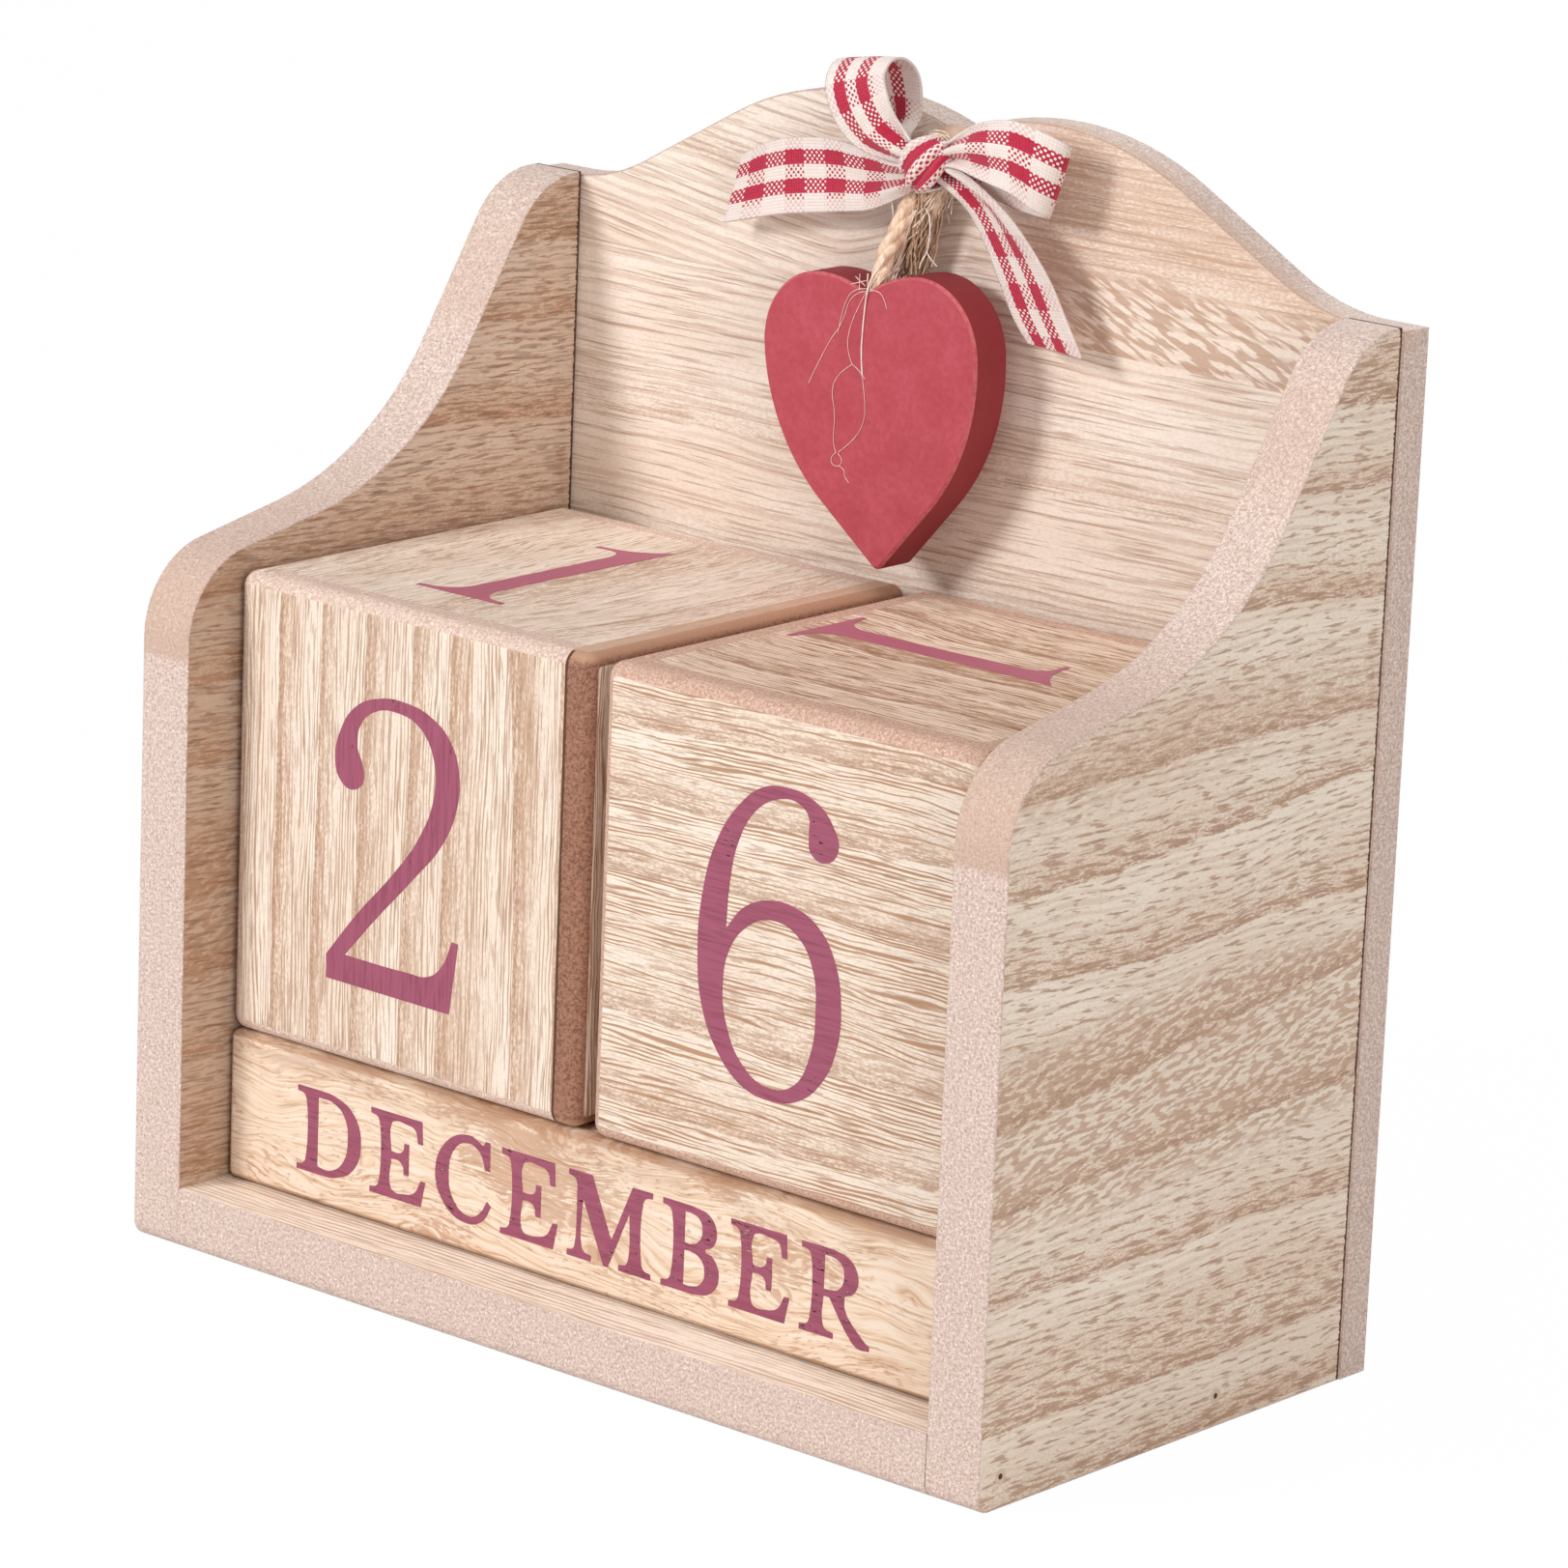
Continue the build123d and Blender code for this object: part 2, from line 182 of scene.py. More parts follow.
def veneer(r, along, across, seed, ring, fleck, wave, rings, tan, comb, pores,
           pitch=0.62, broad=0.42, base=CREAM, tilt=0.2, bold=None, lean=None):
    """Pale wood with fine lines along it. Short brown pores and a tan tint crowd one side of each
    growth ring. Where bold is 1 the pores are broad, slanted flecks."""
    if lean:
        across = across + lean
    bend = r.noise(along / 70, across / 45, seed)
    across = across + (bend - 0.5) * (14 * wave)
    ripple = r.noise(along / 8, across / 5, seed + 3, 1)
    across = across + (ripple - 0.5) * (1.3 * wave)
    uneven = r.noise(across / (ring * 2), seed + 21, along / 300, 1)
    phase = (across / ring + (uneven - 0.5) * 2.4).math("FRACT")
    dense = (1 - phase) ** 3 * phase.rises(0, 0.03) * rings
    wander = r.noise(along / 24, across / (pitch * 5), seed + 41)
    teeth = (((across + (wander - 0.5) * 2.4) / pitch) * (2 * math.pi)).math("SINE")
    broken = r.noise(along / (fleck * 4), across / (pitch * 1.4), seed + 43)
    lines = (teeth * 0.5 + broken * 2.6 - dense * 0.5).rises(1.3, 1.8)
    speck = r.noise(along / fleck, across / broad, seed + 7, 2, 0.6)
    marks = (speck + dense * 0.12).rises(0.55, 0.63) * pores
    grit = r.noise(along / 0.7, across / 0.28, seed + 51, 1).rises(0.42, 0.62)
    cloud = r.noise(along / 40, across / 8, seed + 17).rises(0.36, 0.68)
    ground = r.mix((cloud * 0.35 + dense * tan).math("MINIMUM", 1), base, TAN)
    ground = r.mix(grit * (0.12 + dense * 0.5), ground, BROWN)
    ground = r.mix(lines * comb, ground, LINE)
    if bold:
        flecks = r.noise((along + across) / 3, (across - along * tilt) / 0.8, seed + 31, 1.5)
        flecks = (flecks + dense * 0.05).rises(0.46, 0.55)
        marks = marks + (flecks * 0.62 + 0.05 - marks) * bold
    edge = phase.falls(0.03, 0.16) * phase.rises(0, 0.03)
    brown = r.mix(edge * (0.4 * rings) + speck.rises(0.58, 0.7) * 0.7, BROWN, DEEP_BROWN)
    return r.mix(marks, ground, brown), 1 - marks - lines * 0.4


def fibreboard(r, spot, light, dark, seed):
    """Cut fibreboard: a pinkish ground with fine pale fibres, brightened as painted glints of light, and a
    few dark specks.
    """
    grain = r.speckle(spot, 0.42, 3, 0.8, seed)
    glints = r.speckle(spot, 0.5, 2, 0.8, seed + 5)
    specks = r.speckle(spot, 0.45, 2, 0.8, seed + 9)
    ground = r.mix(grain.rises(0.4, 0.6), dark, light)
    # The pale fibres are real; their brightness beyond the ground is a painted highlight, standing in for
    # glints of light.
    bright = tuple(min(channel * 1.35, 1) for channel in light)
    ground = r.mix(glints.rises(0.56, 0.66) * 0.7, ground, bright)
    return r.mix(specks.falls(0.34, 0.44) * 0.45, ground, colour(168, 112, 92)), grain


def dress(node, material):
    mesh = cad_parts[node].data
    mesh.materials.clear()
    mesh.materials.append(material)


def board_finish(name, faces, seed, edge, extra=None):
    """Veneer on the faces that look along the named axes, and fibreboard on all the rest."""
    r = Recipe(name, 0.62, 0.25)
    spot = r.place()
    facing = r.facing()
    skin, height = fibreboard(r, spot, *edge, seed)
    for axis, (along, across, looks) in faces.items():
        looks = {key: look(r, spot) if callable(look) else look for key, look in looks.items()}
        wood, grain = veneer(r, spot[along], spot[across], seed + axis * 5.3, **looks)
        flat = facing[axis].rises(0.972, 0.99)
        skin = r.mix(flat, skin, wood)
        height = height + (grain - height) * flat
    if extra:
        skin = extra(r, skin, spot, facing)
    return r.finish(skin, height, 0.045)


# Fibreboard edges, as a light and a dark tone
EDGE = (colour(226, 209, 200), colour(194, 170, 159))
TENS_EDGE = (colour(228, 206, 194), colour(204, 176, 160))
ONES_EDGE = (colour(216, 184, 166), colour(186, 150, 130))
STRIP_EDGE = (colour(164, 120, 98), colour(122, 84, 66))


def side_extra(r, skin, spot, facing):
    """Burnished edge round the curves, painted shade on the inner face that deepens towards the front, and
    the glue line at the back board.
    """
    x, y, z = spot
    edge = facing[X].falls(0.6, 0.97)
    lip = z.rises(85, 86.2) * z.falls(92, 112)
    crown = z.rises(122, 130) * z.falls(136, 148)
    skin = r.mix(edge * (lip * 0.55 + crown * 0.25), skin, BURNT_EDGE)
    inner = x.math("ABSOLUTE").falls(74.5, 75.5) * (1 - edge)
    # Painted shade on the inner face, deepest towards the front, where it lines the recess beside the cube.
    skin = r.mix(inner * (0.36 + 0.25 * y.falls(-34, -28)), skin, colour(158, 117, 84))
    pores = r.noise(y / 7, (z + y * 0.06) / 0.5, 83, 2).rises(0.52, 0.6)
    skin = r.mix(inner * pores * 0.42, skin, colour(112, 78, 54))
    ragged = y + (r.noise(y / 2, z / 0.5, x / 9) - 0.5) * 0.8
    return r.mix(ragged.rises(panel_y - 0.7, panel_y - 0.58), skin, SEAM)


def back_extra(r, skin, spot, facing):
    """A browner corner, and the dark line of glue round the front veneer."""
    x, y, z = spot
    corner = x.rises(4, 20) * above_seam(spot).rises(7, 13) * y.falls(38, 39)
    grit = r.noise(x / 0.8, z / 0.3, 77)
    skin = r.mix(corner * (0.2 + grit.rises(0.4, 0.6) * 0.42), skin, colour(206, 168, 142))
    edge = y.falls(panel_y + 0.3, panel_y + 0.4) * facing[Y].falls(0.6, 0.9)
    return r.mix(edge * 0.5, skin, colour(178, 138, 116))


def strip_extra(r, skin, spot, facing):
    """The open joint at the edge of the tens cube's right board."""
    x, y, z = spot
    inner = low("tens_cube_right", X)
    ragged = x + (r.noise(x / 2, z / 0.8, y / 2) - 0.5) * 0.5
    skin = r.mix(facing[Z].rises(0.3, 0.75) * 0.75, skin, colour(198, 158, 130))
    return r.mix(ragged.falls(inner + 0.4, inner + 0.6) * facing[Z].falls(0.9, 0.97), skin, SEAM)


def bold_on_sides(r, spot):
    x, y, z = spot
    level = z + (r.noise(y / 30, z / 30, x / 300) - 0.5) * 10 - y * 0.06
    return level.rises(36, 41) * level.falls(61, 66) * 0.95 + level.rises(90, 96) * level.falls(99, 106) * 0.4


def above_seam(spot):
    """Height above the level where the grain of the back panel changes."""
    return spot[Z] + spot[X] * 0.02 - 135.6


def bold_on_back(r, spot):
    drift = (r.noise(spot[X] / 14, spot[Z] / 10, 3) - 0.5) * 7
    band = above_seam(spot)
    return spot[X].rises(14, 26) * band.rises(0, 0.4) * (band + drift).falls(9, 13) * spot[Y].falls(38, 39)


def lean_on_back(r, spot):
    """The lines slope down to the right at the upper left."""
    front = spot[Y].falls(38, 39)
    return above_seam(spot).rises(0, 0.4) * spot[X].falls(-24, 4) * (spot[X] + 75) * front * 0.14


along_y = dict(ring=14, fleck=4.4, wave=0.45, rings=1, tan=0.65, pitch=1.3, comb=0.25, pores=0.68,
               broad=0.6, bold=bold_on_sides)
back_look = dict(ring=29, fleck=14, wave=0.2, rings=0.4, tan=0.35, pitch=1.65, comb=0.3, pores=0.5,
                 broad=0.36, base=PALE, tilt=-0.3, bold=bold_on_back, lean=lean_on_back)
floor_look = dict(ring=12, fleck=9, wave=0.12, rings=0.4, tan=0.2, pitch=1, comb=0.6, pores=0.45, base=PALE)
stripes = dict(ring=8.5, fleck=6, wave=0.14, rings=1.4, tan=0.9, comb=0.75, pores=0.5)
waves = dict(ring=13, fleck=4.5, wave=0.4, rings=1.1, tan=0.6, comb=1, pores=0.5)
pale_top = dict(ring=21, fleck=4.4, wave=1.1, rings=0.9, tan=0.38, comb=0.35, pores=0.58)
brown_top = dict(ring=16, fleck=5, wave=0.9, rings=1.2, tan=1, comb=1, pores=0.9,
                 base=colour(244, 224, 206))
side_finish = board_finish("side_board", {X: (Y, Z, along_y)}, 3, EDGE, side_extra)
back_finish = board_finish("back_board", {Y: (X, Z, back_look)}, 11, EDGE, back_extra)
floor_finish = board_finish("floor_board", {Z: (X, Y, floor_look)}, 23, EDGE)
tens_faces = {X: (Z, Y, waves), Y: (Z, X, stripes), Z: (Y, X, pale_top)}
ones_faces = {X: (Y, Z, waves), Y: (X, Z, waves), Z: (X, Y, brown_top)}


def dress_cube(cube, faces, seed, edge, wrapped):
    """Veneer on the outer face of each board, and on the edges that wrapped names."""
    broad = {"left": X, "right": X, "front": Y, "back": Y, "top": Z, "bottom": Z}
    for board, axis in broad.items():
        shown = {a: faces[a] for a in (axis, *wrapped.get(board, ()))}
        node = f"{cube}_{board}"
        look = (STRIP_EDGE, strip_extra) if node == "tens_cube_right" else (edge,)
        dress(node, board_finish(node, shown, seed, *look))


for node in ("left_side", "right_side"):
    dress(node, side_finish)
dress("back_panel", back_finish)
dress("bottom_board", floor_finish)
dress_cube("tens_cube", tens_faces, 31, TENS_EDGE, {"left": (Z, Y), "right": (Z,)})
dress_cube("ones_cube", ones_faces, 47, ONES_EDGE, {})


def bar_finish(seed):
    """Solid wood, yellower than the veneer, toasted along its upper edge."""
    r = Recipe(f"bar_wood_{seed:.0f}", 0.55, 0.3)
    x, y, z = r.place()
    facing = r.facing()
    drift = r.noise(x / 45, z / 16, y / 16 + seed)
    across = z + y * 0.6 + (drift - 0.5) * 14 + (r.noise(x / 8, z / 5, seed + 2, 1) - 0.5) * 2
    flecks = r.noise(x / 1.8, across / 0.45, seed + 5, 3)
    lines = r.noise(x / 12, across / 0.5, seed + 9, 3, 0.65)
    middle = x.rises(-34, -14) * x.falls(2, 18) * z.rises(15, 24)
    heart = r.noise(x / 22, across / 7, seed + 15, 3) + middle * 0.2
    ground = r.mix(lines.rises(0.4, 0.6), colour(243, 226, 208), colour(230, 201, 173))
    marks = (flecks * 0.9 + heart * 0.75).rises(0.86, 0.98)
    skin = r.mix(marks * 0.6, ground, colour(190, 142, 110))
    skin = r.mix(lines.rises(0.56, 0.64) * 0.4, skin, colour(168, 124, 90))
    toast = z.rises(25, 31) * r.noise(x / 14, z / 3, seed + 25).rises(0.36, 0.6)
    skin = r.mix(toast * 0.5, skin, colour(170, 120, 86))
    worn = (1 - facing[X].math("MAXIMUM", facing[Y]).math("MAXIMUM", facing[Z])).rises(0.004, 0.12)
    skin = r.mix(worn * 0.55, skin, colour(160, 114, 80))
    return r.finish(skin, 1 - marks, 0.04)


for order, node in enumerate(("front_month_bar", "middle_month_bar", "rear_month_bar")):
    dress(node, bar_finish(60 + order * 7))


def heart_finish():
    """Matt red paint, paler along the edge of the front, with painted shade on the sides that turn away from
    the front.
    """
    r = Recipe("heart_paint", 0.6, 0.25)
    spot = r.place()
    facing = r.facing()
    cloud = r.speckle(spot, 5)
    mottle = r.speckle(spot, 0.9, 3, 0.7)
    grit = r.speckle(spot, 0.35, 3)
    skin = r.mix(cloud.rises(0.2, 0.8), colour(191, 86, 99), colour(180, 74, 86))
    skin = r.mix(mottle.rises(0.35, 0.65) * 0.35, skin, colour(164, 54, 64))
    skin = r.mix(grit.rises(0.7, 0.76) * 0.5, skin, colour(224, 150, 150))
    rim = facing[Y].rises(0.35, 0.55) * facing[Y].falls(0.8, 0.95)
    rim = rim * spot[Y].falls(heart_front_y + 1, heart_front_y + 2) * mottle.rises(0.36, 0.6)
    skin = r.mix(rim * 0.42, skin, colour(214, 132, 128))
    # Painted shade: the sides, which turn away from the front, are made darker red.
    side_shade = facing[Y].falls(0.1, 0.4)
    skin = r.mix(side_shade * 0.78, skin, colour(130, 40, 44))
    return r.finish(skin, grit, 0.02)


dress("heart", heart_finish())


def brad_finish(node, first, second):
    """Punched heads of brads: filled round a dark centre. Each lies along the third axis."""
    spots = [v.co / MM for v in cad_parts[node].data.vertices]
    centres = []
    for spot in spots:
        if all(abs(spot[first] - c[0]) + abs(spot[second] - c[1]) > 4 for c in centres):
            near = [p for p in spots if abs(p[first] - spot[first]) + abs(p[second] - spot[second]) < 4]
            centres.append([(min(p[i] for p in near) + max(p[i] for p in near)) / 2 for i in (first, second)])
    r = Recipe(node, 0.6, 0.3)
    here = r.place()
    nearest = None
    for centre in centres:
        a, b = here[first] - centre[0], here[second] - centre[1]
        away = (a * a + b * b).math("SQRT")
        nearest = away if nearest is None else nearest.math("MINIMUM", away)
    grain = r.speckle(here, 0.5)
    filler = r.mix(grain, colour(228, 206, 186), colour(206, 178, 154))
    return r.finish(r.mix((nearest + grain * 0.2).falls(0.45, 0.58), filler, colour(60, 42, 32)), grain, 0.02)


def glue_finish():
    r = Recipe("set_glue", 0.35, 0.5)
    cloud = r.speckle(r.place(), 2)
    return r.finish(r.mix(cloud, colour(226, 198, 176), colour(206, 174, 150)), cloud, 0.1)


dress("side_brads", brad_finish("side_brads", Y, Z))
dress("back_brads", brad_finish("back_brads", X, Z))
dress("glue_dab", glue_finish())


# New pieces

def new_object(name, data):
    made = bpy.data.objects.new(name, data)
    bpy.context.scene.collection.objects.link(made)
    return made


def add_piece(name, mesh, body, material, replaced=()):
    piece = new_object(name, mesh)
    mesh.materials.clear()
    mesh.materials.append(material)
    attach(piece, body)
    if replaced:
        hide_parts(*replaced)
    return piece


def smooth_mesh(name, bm):
    """The finished mesh of a bmesh, shaded smooth."""
    mesh = bpy.data.meshes.new(name)
    bm.to_mesh(mesh)
    bm.free()
    for face in mesh.polygons:
        face.use_smooth = True
    return mesh


def mesh_of(line):
    """The mesh of a curve, which is then deleted."""
    holder = bpy.data.objects.new("line", line)
    mesh = bpy.data.meshes.new_from_object(holder)
    bpy.data.objects.remove(holder)
    bpy.data.curves.remove(line)
    return mesh


def flow(values, t):
    """The value at t along a list, on a smooth curve through all of them."""
    i = max(min(int(t), len(values) - 2), 0)
    f = t - i
    before, a = values[max(i - 1, 0)], values[i]
    b, after = values[i + 1], values[min(i + 2, len(values) - 1)]
    bend = (before * 2 - a * 5 + b * 4 - after) + ((a - b) * 3 + after - before) * f
    return a + ((b - before) + bend * f) * (f / 2)


# Gingham ribbon

RIBBON_WIDTH = 10.6
CLOTH_THICKNESS = 0.32
CHECK_PITCH = 7.8
THREAD = 0.46


def gingham_finish():
    """Two red stripes along the ribbon, crossed by red weft, with single threads showing."""
    r = Recipe("gingham", 0.85, 0.15, 0.25)
    along, across = r.split(r.node("UVMap", {"uv_map": "ribbon"}, {}))[:2]
    along, across = along * 100, across * 100
    wobble = r.noise(along / 0.8, across / 0.8, 4)
    a = along + (wobble - 0.5) * 0.18
    c = across + (wobble - 0.5) * 0.18

    def stripe(start, end):
        return c.rises(start - 0.06, start + 0.06) * c.falls(end - 0.06, end + 0.06)

    warp = stripe(1.6, 3.7) + stripe(5.7, 7.8)
    weft = (a / CHECK_PITCH).math("FRACT").falls(0.48, 0.5)
    inside = c.rises(1.2, 1.6) * c.falls(8.3, 9)
    weft = weft * (0.3 + 0.7 * inside)
    turn = math.pi / THREAD
    weave = (a * turn).math("SINE") * (c * turn).math("SINE")
    warp_seen = weave.rises(-0.42, -0.12)
    red = warp_seen * warp + (1 - warp_seen) * weft
    thread = weave.math("ABSOLUTE").rises(0, 0.6)
    cream = r.mix(wobble, colour(252, 241, 236), colour(240, 223, 216))
    crimson = r.mix(wobble, colour(206, 48, 80), colour(176, 32, 62))
    cloth = r.mix(red.math("MINIMUM", 1), cream, crimson)
    cloth = r.scaled(cloth, 0.86 + 0.14 * thread)
    return r.finish(cloth, thread, 0.06)


gingham = gingham_finish()


def ribbon_mesh(name, stations, rows, pleats, start):
    """A strip through stations of (middle, share of the width, way across), gathered into pleats
    where it is narrow. Its UV map holds the distance along and across the cloth."""
    seat = Vector((stem_x, high("bow_knot", Y), stem_height))
    middles, shares, ways = zip(*stations)
    middles = [seat + Vector(middle) for middle in middles]
    ways = [Vector(way).normalized() for way in ways]
    last = len(stations) - 1
    steps = 400
    places = [flow(middles, last * i / steps) for i in range(steps + 1)]
    run = [0]
    for a, b in zip(places, places[1:]):
        run.append(run[-1] + (b - a).length)
    bm = bmesh.new()
    bmesh.ops.create_grid(bm, x_segments=28, y_segments=rows, size=0.5)
    uv = bm.loops.layers.uv.new("ribbon")
    across_share = {v: v.co.x for v in bm.verts}
    along_share = {v: v.co.y + 0.5 for v in bm.verts}
    for v in bm.verts:
        u, t = across_share[v], along_share[v] * last
        ahead = (flow(middles, min(t + 0.05, last)) - flow(middles, max(t - 0.05, 0))).normalized()
        way = flow(ways, t).normalized()
        share = max(flow(shares, t), 0.1)
        face = way.cross(ahead).normalized()
        gather = max(1 - share, 0) ** 0.8
        fold = math.cos(2 * math.pi * pleats * u + 0.6) * gather * 1.25
        crown = (0.25 - u * u) * 0.7 * share
        v.co = flow(middles, t) + way * (u * share * RIBBON_WIDTH) + face * (fold + crown)
    for face in bm.faces:
        for loop in face.loops:
            t = along_share[loop.vert] * steps
            length = run[min(int(t), steps)]
            loop[uv].uv = ((length + start) / 100, (across_share[loop.vert] + 0.5) * RIBBON_WIDTH / 100)
    for v in bm.verts:
        v.co = v.co * MM
    return smooth_mesh(name, bm)


def add_cloth(node, mesh):
    piece = add_piece(node + "_cloth", mesh, "case", gingham, [node])
    wall = piece.modifiers.new("cloth thickness", "SOLIDIFY")
    wall.thickness = CLOTH_THICKNESS * MM
    wall.offset = 0


def add_ribbon(node, stations, rows, pleats, start):
    mesh = ribbon_mesh(node + "_cloth", stations, rows, pleats, start)
    add_cloth(node, mesh)


left_tail = [
    ((-0.7, -1.3, -2.1), 0.3, (0, 0, -1)),
    ((-4.7, -0.8, -3.1), 0.5, (0.1, -0.1, -1)),
    ((-10.6, 0.1, -4.1), 0.8, (0.2, -0.15, -1)),
    ((-18.3, 0.8, -4.7), 0.97, (0.2, -0.1, -1)),
    ((-27.6, 1.1, -6.3), 1, (0.05, -0.05, -1)),
    ((-36.5, 1.6, -9.3), 1, (-0.3, 0, -1)),
]
right_tail = [
    ((4.4, -1.6, -0.5), 0.3, (0.6, -0.2, 0.6)),
    ((8.4, -1.5, -2.3), 0.52, (0.9, -0.2, 0.3)),
    ((12.2, -1.2, -5.1), 0.8, (1, -0.25, 0.1)),
    ((15.1, -0.8, -8.7), 0.95, (1, -0.25, 0.1)),
    ((18.3, -0.2, -13.9), 1, (1, -0.18, 0.15)),
    ((21, 0.2, -18.9), 1, (1, -0.13, 0.1)),
    ((23.7, 0.4, -22.9), 1, (1, -0.13, -0.03)),
]
right_loop = [
    ((4.2, -2, 1.5), 0.23, (0.1, 0, -1)),
    ((7.8, -2.6, 2.7), 0.45, (0.2, -0.1, -1)),
    ((12.2, -3.2, 3.3), 0.75, (0.25, -0.15, -1)),
    ((17.8, -3.6, 3.3), 0.94, (0.15, -0.1, -1)),
    ((22.2, -3, 1.9), 1, (-0.15, -0.05, -1)),
    ((24, -1.3, 0.7), 1, (-0.28, -0.05, -1)),
    ((22.7, 0.5, 0.1), 1, (-0.28, -0.05, -1)),
    ((17.1, 1.4, 0.3), 0.98, (-0.18, -0.09, -1)),
    ((10.8, 1.1, 0.4), 0.72, (0, -0.1, -1)),
    ((6.4, 0, 0.5), 0.38, (0, 0, -1)),
    ((4.8, -0.7, 0.5), 0.26, (0, 0, -1)),
]
left_loop = [
    ((-0.8, -2.3, 0.9), 0.28, (0.5, 0, 0.9)),
    ((-3.3, -2.6, 1.8), 0.53, (0.6, 0, 0.8)),
    ((-6.5, -3.5, 3.7), 0.82, (0.75, 0, 0.64)),
    ((-8.8, -4, 6.7), 0.98, (0.85, 0, 0.5)),
    ((-10.6, -3.4, 9.8), 1, (0.94, 0.04, 0.3)),
    ((-11.1, -1.6, 12.1), 1, (0.97, 0.08, 0.2)),
    ((-11.1, 0.8, 12.6), 1, (0.97, 0.12, 0.12)),
    ((-10.8, 3, 11.2), 1, (0.98, 0.15, 0.05)),
    ((-10.4, 3.8, 8.5), 1, (0.98, 0.15, 0)),
    ((-8.8, 3.2, 5.1), 0.8, (0.97, 0.14, -0.05)),
    ((-6, 0.4, 2.9), 0.42, (0.97, 0.1, 0)),
    ((-2.2, -0.8, 1.1), 0.26, (0.9, 0, 0.3)),
]


def knot_mesh():
    """The turn of ribbon that holds the bow: a band round a flat oval, creased along its length."""
    middle_y = (low("bow_knot", Y) + high("bow_knot", Y)) / 2
    half_width, half_height, half_depth = 3.4, 4.2, 2.3
    turn = math.radians(-44)
    bm = bmesh.new()
    bmesh.ops.create_grid(bm, x_segments=26, y_segments=72, size=0.5)
    uv = bm.loops.layers.uv.new("ribbon")
    for face in bm.faces:
        for loop in face.loops:
            spot = loop.vert.co
            loop[uv].uv = ((spot.y + 0.5) * 0.18, (spot.x * 0.82 + 0.42) * RIBBON_WIDTH / 100)
    for v in bm.verts:
        u, angle = v.co.x * 2, (v.co.y + 0.5) * 2 * math.pi
        crown = 1 - 0.22 * u ** 4 - 0.1 * u * u
        crease = 0.32 * math.cos(u * 7.5 + 0.7 * math.sin(angle)) + 0.18 * math.sin(u * 12 + angle)
        side = u * half_width * (1 - 0.3 * math.sin(angle) ** 2)
        up = (half_height * crown + crease) * math.sin(angle)
        out = (half_depth * crown + crease) * math.cos(angle)
        x = side * math.cos(turn) - up * math.sin(turn)
        z = side * math.sin(turn) + up * math.cos(turn)
        v.co = Vector((stem_x + 1.8 + x, middle_y - out, stem_height + z)) * MM
    bmesh.ops.remove_doubles(bm, verts=bm.verts, dist=0.01 * MM)
    return smooth_mesh("bow_knot_cloth", bm)


add_cloth("bow_knot", knot_mesh())
add_ribbon("bow_left_tail", left_tail, 110, 1.6, 1)
add_ribbon("bow_right_tail", right_tail, 100, 1.3, 3)
add_ribbon("bow_right_loop", right_loop, 150, 1.6, 2)
add_ribbon("bow_left_loop", left_loop, 160, 1.5, 5)


# Jute twine

TWINE_RADIUS = 1.3
TWINE_GAP = 0.35
HANGING_Y = 31.9
HEART_TILT = math.radians(5.8)
HEART_X, HEART_Z = -5.9, 139.6


def straw_finish(name, pale, dark, shine):
    r = Recipe(name, 0.6, shine)
    x, y, z = r.place()
    cloud = r.noise(x / 0.5, y / 0.5, z / 2.5, 3)
    fine = r.noise(x / 0.12, y / 0.12, z / 0.9)
    skin = r.mix(cloud.rises(0.3, 0.7), colour(*pale), colour(*dark))
    return r.finish(r.scaled(skin, 0.7 + 0.6 * fine), fine, 0.08)


jute = straw_finish("jute", (252, 228, 204), (216, 178, 150), 0.3)
fibre = straw_finish("jute_fibre", (255, 243, 228), (230, 194, 168), 0.4)
pale_hair = straw_finish("pale_hair", (255, 250, 244), (244, 230, 218), 0.4)
hair = straw_finish("stray_hair", (252, 224, 216), (238, 196, 190), 0.4)
shaded_jute = straw_finish("shaded_jute", (226, 194, 166), (164, 126, 98), 0.3)


def heart_point(across, up, y):
    """A point of the heart's own drawing, tilted and in its place."""
    c, s = math.cos(HEART_TILT), math.sin(HEART_TILT)
    return (HEART_X + across * c - up * s, y, HEART_Z + across * s + up * c)


def twine_route():
    """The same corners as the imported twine's, in mm."""
    loop = stem_radius + TWINE_GAP + TWINE_RADIUS
    front = heart_front_y + 2.5
    rear = high("heart", Y) + TWINE_RADIUS
    left, right, over = stem_x - loop, stem_x + loop, stem_height + loop - 0.5
    return [
        heart_point(0, -6, front),
        heart_point(0, 2.5, front),
        (left - 1.1, (front + HANGING_Y) / 2, stem_height - 9.3),
        (left - 0.2, HANGING_Y - 0.1, stem_height - 4.9),
        (left, HANGING_Y, over),
        (right, HANGING_Y, over),
        (right - 0.4, HANGING_Y, stem_height - 1.8),
        (right - 3.2, HANGING_Y + 0.3, stem_height - 6.1),
        (right - 5.2, rear - 0.5, stem_height - 11),
        heart_point(2, 2.6, rear),
        heart_point(2, -3.9, rear),
    ]


def thread(points, radius, sides, resolution):
    """A mesh of a thin round thread along a smooth spline."""
    line = bpy.data.curves.new("line", "CURVE")
    line.dimensions = "3D"
    spline = line.splines.new("NURBS")
    spline.points.add(len(points) - 1)
    for spot, place in zip(spline.points, points):
        spot.co = (*[c * MM for c in place], 1)
    spline.order_u = 3
    spline.use_endpoint_u = True
    spline.resolution_u = resolution
    line.bevel_depth = radius * MM
    line.bevel_resolution = sides
    line.use_fill_caps = radius > 0
    return mesh_of(line)


def join(name, meshes):
    bm = bmesh.new()
    for mesh in meshes:
        bm.from_mesh(mesh)
        bpy.data.meshes.remove(mesh)
    return smooth_mesh(name, bm)


centre = [v.co / MM for v in thread(twine_route(), 0, 0, 14).vertices]
travelled = [0]
for a, b in zip(centre, centre[1:]):
    travelled.append(travelled[-1] + (b - a).length)
twine_length = travelled[-1]


